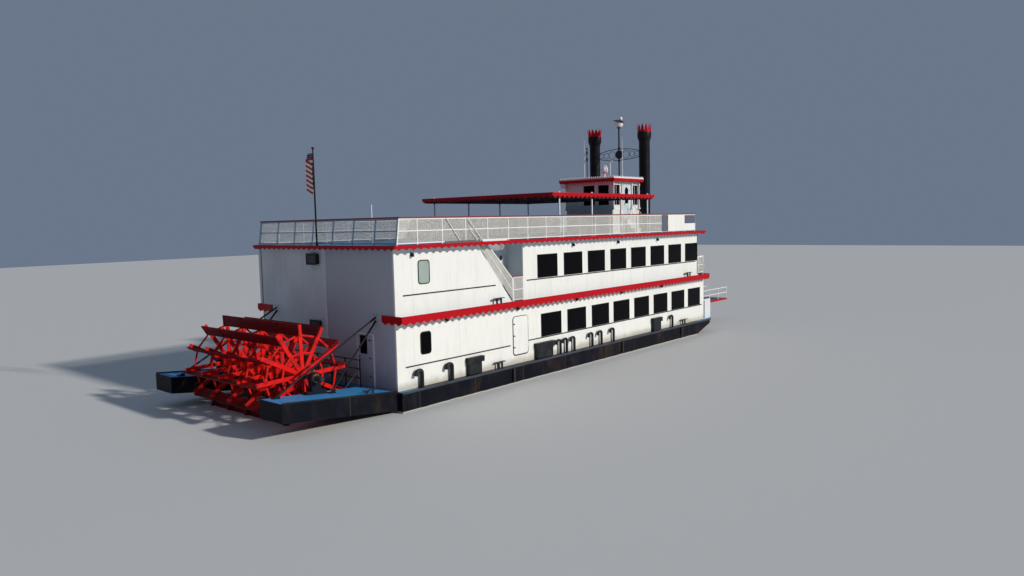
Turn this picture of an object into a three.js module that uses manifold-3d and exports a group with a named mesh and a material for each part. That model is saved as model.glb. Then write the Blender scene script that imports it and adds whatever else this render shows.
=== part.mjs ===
// Sternwheel paddle boat, full size, in millimetres.
// X runs forward from the stern wall of the deckhouse, Y to port, Z up from the flat bottom.
// Every piece is shaped in those coordinates and moved aft by ORIGIN_X when it is added.
import * as THREE from 'three';
import { mergeVertices } from 'three/addons/utils/BufferGeometryUtils.js';
import Module from 'manifold-3d';

const wasm = await Module();
wasm.setup();

// Levels above the flat bottom
const MAIN_DECK = 1700;
const SECOND_DECK = 4420;
const ROOF_DECK = 7080;
const RAIL_HEIGHT = 1070;

// Plan sizes
const ORIGIN_X = 13060;
const HOUSE_HALF = 4445;
const HULL_HALF = 4675;
const GUARD_HALF = 4795;
const ROOF_PORT = 4560;
const HULL_FORE = 25600;
const LOWER_HOUSE_FORE = 24490;
const UPPER_HOUSE_FORE = 23730;
const GUARD_FORE = LOWER_HOUSE_FORE;
const ROOF_AFT = -230;
const ROOF_FORE = 24010;

// Thicknesses
const WALL = 80;
const SLAB = 100;
const DECK_PLATE = 40;
const GAP = 0.3;
const GLASS = 12;
const DOOR_LEAF = 50;
const DOOR_CLEARANCE = 10;

// Windows of the two cabins
const LOWER_WINDOWS = {
  left: [8530, 10530, 12550, 14490, 16490, 18510, 20510, 22480],
  width: 1540,
  bottom: MAIN_DECK + 950,
  top: MAIN_DECK + 2010,
};
const UPPER_WINDOWS = {
  left: [8340, 10320, 12270, 14250, 16220, 18210, 20170, 22140],
  width: 1500,
  bottom: MAIN_DECK + 3640,
  top: MAIN_DECK + 4700,
};

// Wheel
const WHEEL = {
  x: -2750,
  z: MAIN_DECK + 860,
  arms: 12,
  phase: 2,
  tip: 1850,
  armWidth: 150,
  armThick: 60,
  innerRing: 850,
  outerRing: 1475,
  ringBar: 70,
  ringThick: 20,
  boardDepth: 420,
  boardThick: 50,
  boardTip: 1880,
  halfWidth: 2600,
  frames: [-2500, -1250, 0, 1250, 2500],
  shaftRadius: 90,
  hubRadius: 300,
};

// Wings either side of the wheel
const WING = {
  aft: -4880,
  rise: 488,
  depthFore: 700,
  depthAft: 640,
  outer: 4445,
  innerFore: 2545,
  innerAft: 3155,
};

const group = new THREE.Group();
group.name = 'sternwheel_paddle_boat';

// Turns a geometry into a solid for the set operations.
function solid(geometry) {
  geometry.deleteAttribute('normal');
  geometry.deleteAttribute('uv');
  const merged = mergeVertices(geometry, 0.001);
  return new wasm.Manifold(new wasm.Mesh({
    numProp: 3,
    vertProperties: new Float32Array(merged.attributes.position.array),
    triVerts: new Uint32Array(merged.index.array),
  }));
}

// Adds a solid as a named mesh.
function add(name, body, colour, roughness, metalness) {
  const mesh = body.asOriginal().simplify(0.01).getMesh();
  const geometry = new THREE.BufferGeometry();
  geometry.setAttribute('position', new THREE.BufferAttribute(new Float32Array(mesh.vertProperties), 3));
  geometry.setIndex(new THREE.BufferAttribute(new Uint32Array(mesh.triVerts), 1));
  geometry.translate(-ORIGIN_X, 0, 0);
  geometry.computeVertexNormals();
  const material = new THREE.MeshStandardMaterial({ color: colour, roughness, metalness });
  const node = new THREE.Mesh(geometry, material);
  node.name = name;
  group.add(node);
}

function union(parts) {
  return parts.reduce((sum, part) => sum.add(part));
}

function box(x0, x1, y0, y1, z0, z1) {
  const geometry = new THREE.BoxGeometry(x1 - x0, Math.abs(y1 - y0), z1 - z0);
  geometry.translate((x0 + x1) / 2, (y0 + y1) / 2, (z0 + z1) / 2);
  return solid(geometry);
}

const EXTRUDE = { bevelEnabled: false, curveSegments: 6 };

// Shape from a list of corners, or the shape itself.
function asShape(points) {
  return points instanceof THREE.Shape ? points : new THREE.Shape(points.map(([u, v]) => new THREE.Vector2(u, v)));
}

// Outline in the X-Z plane pushed from y0 to y1.
function prismXZ(points, y0, y1) {
  const low = Math.min(y0, y1);
  const high = Math.max(y0, y1);
  const geometry = new THREE.ExtrudeGeometry(asShape(points), { ...EXTRUDE, depth: high - low });
  geometry.applyMatrix4(new THREE.Matrix4().makeBasis(
    new THREE.Vector3(1, 0, 0), new THREE.Vector3(0, 0, 1), new THREE.Vector3(0, -1, 0)));
  geometry.translate(0, high, 0);
  return solid(geometry);
}

// Outline in the Y-Z plane pushed from x0 to x1.
function prismYZ(points, x0, x1) {
  const geometry = new THREE.ExtrudeGeometry(asShape(points), { ...EXTRUDE, depth: x1 - x0 });
  geometry.applyMatrix4(new THREE.Matrix4().makeBasis(
    new THREE.Vector3(0, 1, 0), new THREE.Vector3(0, 0, 1), new THREE.Vector3(1, 0, 0)));
  geometry.translate(x0, 0, 0);
  return solid(geometry);
}

// Outline in the X-Y plane pushed from z0 to z1.
function prismXY(points, z0, z1) {
  const geometry = new THREE.ExtrudeGeometry(asShape(points), { ...EXTRUDE, depth: z1 - z0 });
  geometry.translate(0, 0, z0);
  return solid(geometry);
}

// Rectangle with rounded corners, one radius per corner in turn from low-low round to low-high.
function roundedRect(u0, u1, v0, v1, [r0, r1, r2, r3]) {
  const shape = new THREE.Shape();
  shape.moveTo(u0 + r0, v0);
  shape.lineTo(u1 - r1, v0);
  if (r1) shape.absarc(u1 - r1, v0 + r1, r1, -Math.PI / 2, 0, false);
  shape.lineTo(u1, v1 - r2);
  if (r2) shape.absarc(u1 - r2, v1 - r2, r2, 0, Math.PI / 2, false);
  shape.lineTo(u0 + r3, v1);
  if (r3) shape.absarc(u0 + r3, v1 - r3, r3, Math.PI / 2, Math.PI, false);
  shape.lineTo(u0, v0 + r0);
  if (r0) shape.absarc(u0 + r0, v0 + r0, r0, Math.PI, Math.PI * 1.5, false);
  return shape;
}

// Round bar between two points.
function rod(a, b, radius, sides = 10) {
  const start = new THREE.Vector3(...a);
  const end = new THREE.Vector3(...b);
  const along = end.clone().sub(start);
  const geometry = new THREE.CylinderGeometry(radius, radius, along.length(), sides);
  geometry.applyQuaternion(new THREE.Quaternion().setFromUnitVectors(
    new THREE.Vector3(0, 1, 0), along.clone().normalize()));
  geometry.translate((start.x + end.x) / 2, (start.y + end.y) / 2, (start.z + end.z) / 2);
  return solid(geometry);
}

// Turned body about a vertical line. The profile of [radius, height] starts and ends on the axis.
function turned(profile, x, y, sides = 24) {
  const geometry = new THREE.LatheGeometry(profile.map(([r, z]) => new THREE.Vector2(r, z)), sides);
  geometry.rotateX(Math.PI / 2);
  geometry.translate(x, y, 0);
  return solid(geometry);
}

// Turned body about a line along Y. The profile of [radius, y] starts and ends on the axis.
function turnedY(profile, x, z, sides = 24) {
  const geometry = new THREE.LatheGeometry(profile.map(([r, y]) => new THREE.Vector2(r, y)), sides);
  geometry.translate(x, 0, z);
  return solid(geometry);
}

// Sawtooth hem: a band whose lower edge is cut into teeth between two ends.
const TOOTH_PITCH = 360;
function hemOutline(from, to, top, hem, tip, toothPitch) {
  const count = Math.round((to - from) / toothPitch);
  const pitch = (to - from) / count;
  const points = [[from, top], [from, hem]];
  for (let i = 0; i < count; i += 1) {
    points.push([from + pitch * (i + 0.5), tip]);
    points.push([from + pitch * (i + 1), hem]);
  }
  points.push([to, top]);
  return points.reverse();
}

// A scalloped band right round a deck or a roof between low and high, open at the stern if aftReturn is set.
// A negative depth with negative teeth points them upwards.
const HEM_THICK = 40;
function hemBand({ x0, x1, low, high, top, depth, teeth, aftReturn, toothPitch = TOOTH_PITCH }) {
  const outline = (from, to) => hemOutline(from, to, top, top - depth, top - depth - teeth, toothPitch);
  const starboard = low - HEM_THICK;
  const port = high + HEM_THICK;
  const parts = [
    prismXZ(outline(x0, x1), starboard, low - GAP),
    prismXZ(outline(x0, x1), high + GAP, port),
    prismYZ(outline(starboard, port), x1 - HEM_THICK, x1),
  ];
  if (aftReturn) {
    parts.push(prismYZ(outline(starboard, starboard + aftReturn), x0, x0 + HEM_THICK));
    parts.push(prismYZ(outline(port - aftReturn, port), x0, x0 + HEM_THICK));
  } else {
    parts.push(prismYZ(outline(starboard, port), x0, x0 + HEM_THICK));
  }
  return union(parts);
}

// Hull: flat-bottomed scow with a raked bow and a raked stern.
const HULL_TOP = MAIN_DECK - DECK_PLATE - GAP;
const hullProfile = [
  [0, 850], [2600, 0], [18800, 0], [20600, 240], [22100, 560], [23100, 910],
  [24500, 1330], [HULL_FORE, 1600], [HULL_FORE, HULL_TOP], [0, HULL_TOP],
];
const BOW_RADIUS = 900;
const hullPlan = roundedRect(0, HULL_FORE, -HULL_HALF, HULL_HALF, [0, BOW_RADIUS, BOW_RADIUS, 0]);
add('hull', prismXZ(hullProfile, -HULL_HALF, HULL_HALF).intersect(prismXY(hullPlan, -10, MAIN_DECK)),
  0x15171c, 0.5, 0.1);

// Main deck plate with its light edge and the walkway along the stern wall.
const EDGE = 30;
const WALKWAY_AFT = -400;
const deckPlan = roundedRect(0, HULL_FORE + EDGE, -HULL_HALF - EDGE, HULL_HALF + EDGE,
  [0, BOW_RADIUS, BOW_RADIUS, 0]);
add('main_deck', union([
  prismXY(deckPlan, MAIN_DECK - DECK_PLATE, MAIN_DECK),
  box(WALKWAY_AFT, 10, -WING.innerFore + 5, WING.innerFore - 5, MAIN_DECK - DECK_PLATE, MAIN_DECK),
  box(WALKWAY_AFT, WALKWAY_AFT + 40, -WING.innerFore + 5, WING.innerFore - 5, MAIN_DECK - 140, MAIN_DECK),
]), 0x2f6f9e, 0.6, 0.05);

// Wings: wedges that climb aft and carry the wheel's bearings.
function wing(side) {
  const top = MAIN_DECK;
  const outline = [
    [-GAP, top - WING.depthFore], [-GAP, top],
    [WING.aft, top + WING.rise], [WING.aft, top + WING.rise - WING.depthAft],
  ].reverse();
  const plan = [
    [0, side * WING.innerFore], [0, side * WING.outer],
    [WING.aft, side * WING.outer], [WING.aft, side * WING.innerAft],
  ];
  const ordered = side > 0 ? plan : plan.reverse();
  return prismXZ(outline, side * WING.innerFore, side * WING.outer).intersect(prismXY(ordered, 0, 4000));
}
add('wing_starboard', wing(-1), 0x2f6f9e, 0.55, 0.05);
add('wing_port', wing(1), 0x2f6f9e, 0.55, 0.05);

function wingTop(x) {
  return MAIN_DECK + WING.rise * (x / WING.aft);
}

// Rudders under the walkway, with their beam on the transom.
const RUDDER = { x: -230, y: 1300, aft: -1120, fore: -60, bottom: 120, top: 1240, thick: 50, stock: 50 };
const BEAM = { aft: -330, half: 1700, bottom: 1330, top: 1470 };
let rudderBeam = box(BEAM.aft, -GAP, -BEAM.half, BEAM.half, BEAM.bottom, BEAM.top);
for (const side of [-1, 1]) {
  const y = side * RUDDER.y;
  rudderBeam = rudderBeam.subtract(rod([RUDDER.x, y, BEAM.bottom - 10], [RUDDER.x, y, BEAM.top + 10],
    RUDDER.stock + 1, 24));
  const blade = union([
    prismXY([[RUDDER.aft, y - 12], [RUDDER.x, y - RUDDER.thick / 2], [RUDDER.fore, y - 12],
      [RUDDER.fore, y + 12], [RUDDER.x, y + RUDDER.thick / 2], [RUDDER.aft, y + 12]], RUDDER.bottom, RUDDER.top),
    rod([RUDDER.x, y, RUDDER.top - 200], [RUDDER.x, y, BEAM.top + 60], RUDDER.stock, 24),
    rod([RUDDER.x, y, BEAM.top + 10], [RUDDER.x, y, BEAM.top + 60], RUDDER.stock + 30, 24),
  ]);
  add(side < 0 ? 'rudder_starboard' : 'rudder_port', blade, 0x1d1f22, 0.6, 0.3);
}
add('rudder_beam', rudderBeam, 0x1d1f22, 0.6, 0.3);

// Paddle wheel: shaft, the five spider frames on one hub tube, and the boards with their outer rings.
const wheelAt = (radius, y, degrees) => {
  const angle = degrees * Math.PI / 180;
  return [WHEEL.x + radius * Math.cos(angle), y, WHEEL.z + radius * Math.sin(angle)];
};
const SHAFT_END = 3700;
const SHAFT_COLLAR = 150;
add('wheel_shaft', turnedY([
  [0, -SHAFT_END], [WHEEL.shaftRadius, -SHAFT_END], [WHEEL.shaftRadius, SHAFT_END], [0, SHAFT_END],
], WHEEL.x, WHEEL.z, 24), 0x3a3d40, 0.45, 0.7);

function wheelRing(radius, bar, y0, y1) {
  const corners = (r) => Array.from({ length: WHEEL.arms }, (_, i) => {
    const [x, , z] = wheelAt(r, 0, WHEEL.phase + i * 360 / WHEEL.arms);
    return [x, z];
  });
  return prismXZ(corners(radius + bar / 2), y0, y1).subtract(prismXZ(corners(radius - bar / 2), y0 - 5, y1 + 5));
}
function wheelArm(degrees, y, from, to, width, thick) {
  const geometry = new THREE.BoxGeometry(to - from, thick, width);
  geometry.translate((from + to) / 2, 0, 0);
  geometry.rotateY(-degrees * Math.PI / 180);
  geometry.translate(WHEEL.x, y, WHEEL.z);
  return solid(geometry);
}
const frameParts = [];
for (const y of WHEEL.frames) {
  frameParts.push(rod([WHEEL.x, y - 30, WHEEL.z], [WHEEL.x, y + 30, WHEEL.z], WHEEL.hubRadius, 16));
  frameParts.push(wheelRing(WHEEL.innerRing, WHEEL.ringBar, y - 30, y + 30));
  for (let i = 0; i < WHEEL.arms; i += 1) {
    const degrees = WHEEL.phase + i * 360 / WHEEL.arms;
    frameParts.push(wheelArm(degrees, y, SHAFT_COLLAR, WHEEL.tip, WHEEL.armWidth, WHEEL.armThick));
  }
}
frameParts.push(rod([WHEEL.x, -WHEEL.halfWidth, WHEEL.z], [WHEEL.x, WHEEL.halfWidth, WHEEL.z], SHAFT_COLLAR, 16));
const shaftBore = rod([WHEEL.x, -SHAFT_END, WHEEL.z], [WHEEL.x, SHAFT_END, WHEEL.z], WHEEL.shaftRadius + GAP, 24);
add('wheel_frames', union(frameParts).subtract(shaftBore), 0xd0201c, 0.45, 0.1);

const boardParts = [];
for (const y of WHEEL.frames) {
  const near = y + WHEEL.armThick / 2 + GAP;
  boardParts.push(wheelRing(WHEEL.outerRing, WHEEL.ringBar, near, near + WHEEL.ringThick));
}
for (let i = 0; i < WHEEL.arms; i += 1) {
  const degrees = WHEEL.phase + i * 360 / WHEEL.arms;
  const geometry = new THREE.BoxGeometry(WHEEL.boardDepth, 2 * WHEEL.halfWidth, WHEEL.boardThick);
  geometry.translate(WHEEL.boardTip - WHEEL.boardDepth / 2, 0,
    WHEEL.armWidth / 2 + GAP + WHEEL.boardThick / 2);
  geometry.rotateY(-degrees * Math.PI / 180);
  geometry.translate(WHEEL.x, 0, WHEEL.z);
  boardParts.push(solid(geometry));
}
add('wheel_boards', union(boardParts), 0x8c1417, 0.6, 0.05);

// Bearing pedestals on the wings.
const BEARING = { y: 3200, width: 220, footHalf: 420, bodyHalf: 190, capRadius: 210 };
function bearing(side) {
  const inner = side * (BEARING.y - BEARING.width / 2);
  const outer = side * (BEARING.y + BEARING.width / 2);
  const foot = wingTop(WHEEL.x);
  const body = union([
    prismXZ([
      [WHEEL.x + BEARING.footHalf, wingTop(WHEEL.x + BEARING.footHalf) + GAP],
      [WHEEL.x + BEARING.footHalf, foot + 110],
      [WHEEL.x + BEARING.bodyHalf, foot + 160],
      [WHEEL.x + BEARING.bodyHalf, WHEEL.z],
      [WHEEL.x - BEARING.bodyHalf, WHEEL.z],
      [WHEEL.x - BEARING.bodyHalf, foot + 160],
      [WHEEL.x - BEARING.footHalf, foot + 110],
      [WHEEL.x - BEARING.footHalf, wingTop(WHEEL.x - BEARING.footHalf) + GAP],
    ], inner, outer),
    rod([WHEEL.x, inner, WHEEL.z], [WHEEL.x, outer, WHEEL.z], BEARING.capRadius, 24),
  ]);
  return body.subtract(rod([WHEEL.x, side * 2800, WHEEL.z], [WHEEL.x, side * 4200, WHEEL.z],
    WHEEL.shaftRadius + 1, 24));
}
add('bearing_starboard', bearing(-1), 0x1b1c1f, 0.5, 0.3);
add('bearing_port', bearing(1), 0x1b1c1f, 0.5, 0.3);

// Tubular stays from the stern wall down to the wings, a long leg and a short one each.
const STAY = {
  y: 3340, apex: MAIN_DECK + 2720, shortHead: MAIN_DECK + 2590, radius: 55, longFoot: -4400, shortFoot: -2150,
};
function stay(side) {
  const y = side * STAY.y;
  const foot = (x) => [x, y, wingTop(x) + 30];
  const plate = (x) => prismXZ([
    [x - 130, wingTop(x - 130) + GAP], [x - 130, wingTop(x) + 45],
    [x + 130, wingTop(x) + 45], [x + 130, wingTop(x + 130) + GAP],
  ].reverse(), y - 90, y + 90);
  const below = prismXZ([
    [0, MAIN_DECK + GAP], [0, MAIN_DECK - 400], [WING.aft, MAIN_DECK - 400], [WING.aft, wingTop(WING.aft) + GAP],
  ].reverse(), y - 300, y + 300);
  return union([
    box(-30, -GAP, y - 120, y + 120, STAY.apex - 190, STAY.apex + 130),
    rod([-20, y, STAY.apex], foot(STAY.longFoot), STAY.radius, 12),
    rod([-20, y, STAY.shortHead], foot(STAY.shortFoot), STAY.radius, 12),
    plate(STAY.longFoot),
    plate(STAY.shortFoot),
  ]).subtract(below).subtract(box(-GAP, 300, y - 300, y + 300, STAY.apex - 300, STAY.apex + 300));
}
add('stay_starboard', stay(-1), 0x16171a, 0.5, 0.3);
add('stay_port', stay(1), 0x16171a, 0.5, 0.3);

// Pipe railing along the walkway's aft edge.
const WALK_RAIL = {
  x: -360, half: 2700, posts: [-2700, -1800, -900, 0, 900, 1800, 2700], bar: 25, low: 380, mid: 730,
};
const walkRail = [];
for (const y of WALK_RAIL.posts) {
  const onWing = Math.abs(y) > WING.innerFore;
  const foot = onWing ? wingTop(WALK_RAIL.x - WALK_RAIL.bar) : MAIN_DECK;
  walkRail.push(rod([WALK_RAIL.x, y, foot + GAP], [WALK_RAIL.x, y, MAIN_DECK + RAIL_HEIGHT], WALK_RAIL.bar, 6));
}
for (const z of [WALK_RAIL.low, WALK_RAIL.mid, RAIL_HEIGHT]) {
  walkRail.push(rod([WALK_RAIL.x, -WALK_RAIL.half, MAIN_DECK + z], [WALK_RAIL.x, WALK_RAIL.half, MAIN_DECK + z],
    WALK_RAIL.bar, 6));
}
add('walkway_rail', union(walkRail), 0x2a2622, 0.6, 0.2);

// Walls. Side walls run the full length and the end walls stand between them.
function windowHoles(windows, y0, y1) {
  return union(windows.left.map((left) =>
    box(left, left + windows.width, y0, y1, windows.bottom, windows.top)));
}
const lowerBase = MAIN_DECK + GAP;
const lowerTop = SECOND_DECK - SLAB - GAP;
const upperBase = SECOND_DECK + GAP;
const upperTop = ROOF_DECK - SLAB - GAP;
const outside = HOUSE_HALF + 50;
const inside = HOUSE_HALF - WALL - 50;

const SIDE_DOOR = { aft: 6600, fore: 7600, bottom: MAIN_DECK + 400, top: MAIN_DECK + 2070, radius: 140 };
const sideDoorHole = prismXZ(roundedRect(SIDE_DOOR.aft, SIDE_DOOR.fore, SIDE_DOOR.bottom, SIDE_DOOR.top,
  [SIDE_DOOR.radius, SIDE_DOOR.radius, SIDE_DOOR.radius, SIDE_DOOR.radius]), -outside, -inside);
const WHITE = 0xe9eaec;
add('lower_wall_starboard', box(0, LOWER_HOUSE_FORE, -HOUSE_HALF, -HOUSE_HALF + WALL, lowerBase, lowerTop)
  .subtract(windowHoles(LOWER_WINDOWS, -outside, -inside)).subtract(sideDoorHole), WHITE, 0.55, 0);
add('lower_wall_port', box(0, LOWER_HOUSE_FORE, HOUSE_HALF - WALL, HOUSE_HALF, lowerBase, lowerTop)
  .subtract(windowHoles(LOWER_WINDOWS, inside, outside)), WHITE, 0.55, 0);

// Door hinges: two barrels beside the leaf, each with a strap that runs onto it.
const HINGE = { radius: 14, stand: 14.5, length: 160, strap: 12, strapHalf: 35, reach: 150 };
const leafClear = DOOR_CLEARANCE;
function hingesAlongX(x, y, levels) {
  return levels.flatMap((z) => [
    rod([x, y, z - HINGE.length / 2], [x, y, z + HINGE.length / 2], HINGE.radius, 12),
    box(x - HINGE.reach, x, y - 3, y + HINGE.strap - 3, z - HINGE.strapHalf, z + HINGE.strapHalf),
  ]);
}
function hingesAlongY(x, y, levels, xOuter, xInner) {
  return levels.flatMap((z) => [
    rod([x, y, z - HINGE.length / 2], [x, y, z + HINGE.length / 2], HINGE.radius, 12),
    box(xOuter, xInner, y, y + HINGE.reach, z - HINGE.strapHalf, z + HINGE.strapHalf),
  ]);
}
const sideHinge = { x: SIDE_DOOR.fore, y: -HOUSE_HALF - HINGE.stand };
add('side_door', union([
  prismXZ(roundedRect(SIDE_DOOR.aft + leafClear, SIDE_DOOR.fore - leafClear, SIDE_DOOR.bottom + leafClear,
    SIDE_DOOR.top - leafClear, [130, 130, 130, 130]), -HOUSE_HALF - 6, -HOUSE_HALF - 6 + DOOR_LEAF),
  ...hingesAlongX(sideHinge.x, sideHinge.y, [SIDE_DOOR.bottom + 350, SIDE_DOOR.top - 350]),
]), WHITE, 0.5, 0);

const endHalf = HOUSE_HALF - WALL - GAP;
const STERN_DOOR = { low: -3085, high: -2195, bottom: MAIN_DECK + 20, top: MAIN_DECK + 1990 };
add('stern_wall', box(0, WALL, -endHalf, endHalf, lowerBase, upperTop)
  .subtract(box(-50, WALL + 50, STERN_DOOR.low, STERN_DOOR.high, STERN_DOOR.bottom, STERN_DOOR.top)),
WHITE, 0.6, 0);
// The stern door swings inwards, so its barrels lie behind the wall.
const sternHinge = { x: WALL + HINGE.stand, y: STERN_DOOR.low };
const sternHingeBarrels = [STERN_DOOR.bottom + 300, STERN_DOOR.top - 300].flatMap((z) => [
  rod([sternHinge.x, sternHinge.y, z - HINGE.length / 2], [sternHinge.x, sternHinge.y, z + HINGE.length / 2],
    HINGE.radius, 12),
  box(sternHinge.x - 6, sternHinge.x + 6, sternHinge.y, sternHinge.y + leafClear + 40,
    z - HINGE.strapHalf, z + HINGE.strapHalf),
  box(20, sternHinge.x + 6, sternHinge.y + leafClear + 20, sternHinge.y + leafClear + 40,
    z - HINGE.strapHalf, z + HINGE.strapHalf),
]);
add('stern_door', union([
  box(-6, -6 + DOOR_LEAF, STERN_DOOR.low + leafClear, STERN_DOOR.high - leafClear - 8,
    STERN_DOOR.bottom + leafClear, STERN_DOOR.top - leafClear),
  ...sternHingeBarrels,
]), WHITE, 0.5, 0);

const BOW_DOOR = { low: -400, high: 400, bottom: MAIN_DECK + 20, top: MAIN_DECK + 2020 };
const BOW_WINDOWS = [-3700, -2250, 1050, 2500];
const BOW_WINDOW_WIDTH = 1200;
let lowerBow = box(LOWER_HOUSE_FORE - WALL, LOWER_HOUSE_FORE, -endHalf, endHalf, lowerBase, lowerTop)
  .subtract(box(LOWER_HOUSE_FORE - WALL - 50, LOWER_HOUSE_FORE + 50, BOW_DOOR.low, BOW_DOOR.high,
    BOW_DOOR.bottom, BOW_DOOR.top));
let upperBow = box(UPPER_HOUSE_FORE - WALL, UPPER_HOUSE_FORE, -endHalf, endHalf, upperBase, upperTop);
for (const left of BOW_WINDOWS) {
  lowerBow = lowerBow.subtract(box(LOWER_HOUSE_FORE - WALL - 50, LOWER_HOUSE_FORE + 50, left,
    left + BOW_WINDOW_WIDTH, LOWER_WINDOWS.bottom, LOWER_WINDOWS.top));
  upperBow = upperBow.subtract(box(UPPER_HOUSE_FORE - WALL - 50, UPPER_HOUSE_FORE + 50, left,
    left + BOW_WINDOW_WIDTH, UPPER_WINDOWS.bottom, UPPER_WINDOWS.top));
}
add('lower_wall_bow', lowerBow, WHITE, 0.55, 0);
const bowHinge = { x: LOWER_HOUSE_FORE + HINGE.stand, y: BOW_DOOR.low };
add('bow_door', union([
  box(LOWER_HOUSE_FORE + 6 - DOOR_LEAF, LOWER_HOUSE_FORE + 6, BOW_DOOR.low + leafClear,
    BOW_DOOR.high - leafClear, BOW_DOOR.bottom + leafClear, BOW_DOOR.top - leafClear),
  ...hingesAlongY(bowHinge.x, bowHinge.y, [BOW_DOOR.bottom + 300, BOW_DOOR.top - 300],
    LOWER_HOUSE_FORE + 5.5, LOWER_HOUSE_FORE + 17.5),
]), WHITE, 0.5, 0);

// Second deck: a slab with side guards that clasps the stern wall.
const secondPlan = [
  [0, -GUARD_HALF], [GUARD_FORE, -GUARD_HALF], [GUARD_FORE, GUARD_HALF], [0, GUARD_HALF],
  [0, endHalf + GAP], [WALL + GAP, endHalf + GAP], [WALL + GAP, -endHalf - GAP], [0, -endHalf - GAP],
];
add('second_deck', prismXY(secondPlan, SECOND_DECK - SLAB, SECOND_DECK), 0x2f6f9e, 0.6, 0.05);
const TRIM_RED = 0xc5161d;
add('trim_second_deck', hemBand({
  x0: -HEM_THICK - GAP, x1: GUARD_FORE + HEM_THICK + GAP, low: -GUARD_HALF, high: GUARD_HALF,
  top: SECOND_DECK + 90, depth: 250, teeth: 85, aftReturn: 1140,
}), TRIM_RED, 0.5, 0.05);

// Upper walls. The starboard one is open at the stair, below a sloping edge.
const STAIR_OPEN = { foot: 6590, head: 4460 };
add('upper_wall_starboard_aft', prismXZ([
  [0, upperBase], [STAIR_OPEN.foot, upperBase], [STAIR_OPEN.head, upperTop], [0, upperTop],
], -HOUSE_HALF, -HOUSE_HALF + WALL), WHITE, 0.55, 0);
const FORWARD_CABIN_AFT = 7350;
add('upper_wall_starboard', box(FORWARD_CABIN_AFT, UPPER_HOUSE_FORE, -HOUSE_HALF, -HOUSE_HALF + WALL,
  upperBase, upperTop).subtract(windowHoles(UPPER_WINDOWS, -outside, -inside)), WHITE, 0.55, 0);
add('upper_wall_port', box(0, UPPER_HOUSE_FORE, HOUSE_HALF - WALL, HOUSE_HALF, upperBase, upperTop)
  .subtract(windowHoles(UPPER_WINDOWS, inside, outside)), WHITE, 0.55, 0);
add('upper_wall_bow', upperBow, WHITE, 0.55, 0);

// Walls round the stair: the inner side wall with its doorway and the cabin's after wall.
const STAIR_INNER = -3515;
const stairWalls = union([
  box(2600, FORWARD_CABIN_AFT + WALL, STAIR_INNER, STAIR_INNER + 60, upperBase, upperTop),
  box(FORWARD_CABIN_AFT, FORWARD_CABIN_AFT + WALL, -endHalf, STAIR_INNER + 60, upperBase, upperTop),
]).subtract(box(6450, 7250, STAIR_INNER - 50, STAIR_INNER + 110, upperBase + 20, upperBase + 2000));
add('stair_walls', stairWalls, 0xaab4bc, 0.6, 0);

// Stair from the landing up to the roof deck.
const STAIR = { foot: 6560, steps: 13, run: 204, depth: 260 };
const stairRise = (ROOF_DECK - SECOND_DECK) / STAIR.steps;
const stairPoints = [[STAIR.foot, SECOND_DECK + GAP]];
for (let i = 0; i < STAIR.steps; i += 1) {
  const tread = Math.min(SECOND_DECK + (i + 1) * stairRise, ROOF_DECK - 1);
  stairPoints.push([STAIR.foot - i * STAIR.run, tread]);
  stairPoints.push([STAIR.foot - (i + 1) * STAIR.run, tread]);
}
const stairHead = STAIR.foot - STAIR.steps * STAIR.run;
stairPoints.push([stairHead, ROOF_DECK - SLAB - STAIR.depth]);
stairPoints.push([STAIR.foot - STAIR.depth * 1.35, SECOND_DECK + GAP]);
add('stair', prismXZ(stairPoints, -HOUSE_HALF + WALL + 5, STAIR_INNER - 5), 0x7b8086, 0.6, 0.1);

// Railing beside the stair, in the side wall's plane: a panel at the landing and three sloping bars.
const STAIR_RAIL = { outer: -4430, inner: -4385, panelAft: 6650, panelFore: 7340, panelTop: 1110, bar: 44, sheet: 8 };
const STAIR_BARS = [
  { foot: [6620, 5460], head: [5100, 6980] },
  { foot: [6620, 4950], head: [4705, 6980] },
  { foot: [6620, 4500], head: [4500, 6980] },
];
function slopingBar({ foot, head }) {
  const along = new THREE.Vector2(head[0] - foot[0], head[1] - foot[1]).normalize();
  const across = [-along.y * STAIR_RAIL.bar / 2, along.x * STAIR_RAIL.bar / 2];
  const start = [foot[0] - along.x * 60, foot[1] - along.y * 60];
  const end = [head[0] + along.x * 60, head[1] + along.y * 60];
  return prismXZ([
    [start[0] - across[0], start[1] - across[1]], [end[0] - across[0], end[1] - across[1]],
    [end[0] + across[0], end[1] + across[1]], [start[0] + across[0], start[1] + across[1]],
  ], STAIR_RAIL.outer, STAIR_RAIL.inner);
}
const [topBar, , lowBar] = STAIR_BARS;
add('stair_railing', union([
  box(STAIR_RAIL.panelAft, STAIR_RAIL.panelFore, STAIR_RAIL.outer, STAIR_RAIL.inner, upperBase,
    SECOND_DECK + STAIR_RAIL.panelTop),
  ...STAIR_BARS.map(slopingBar),
  prismXZ([[STAIR_RAIL.panelAft + 5, lowBar.foot[1]], topBar.foot, topBar.head, lowBar.head],
    STAIR_RAIL.inner - STAIR_RAIL.sheet, STAIR_RAIL.inner),
]).subtract(prismXZ([
  [0, upperBase - 50], [STAIR_OPEN.foot + 45, upperBase - 50], [STAIR_OPEN.head + 5, upperTop], [0, upperTop],
], -outside, -inside)).subtract(box(0, STAIR_RAIL.panelFore + 100, -outside, -inside, upperTop, ROOF_DECK + 300)),
0xe4e6ea, 0.5, 0.1);

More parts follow.
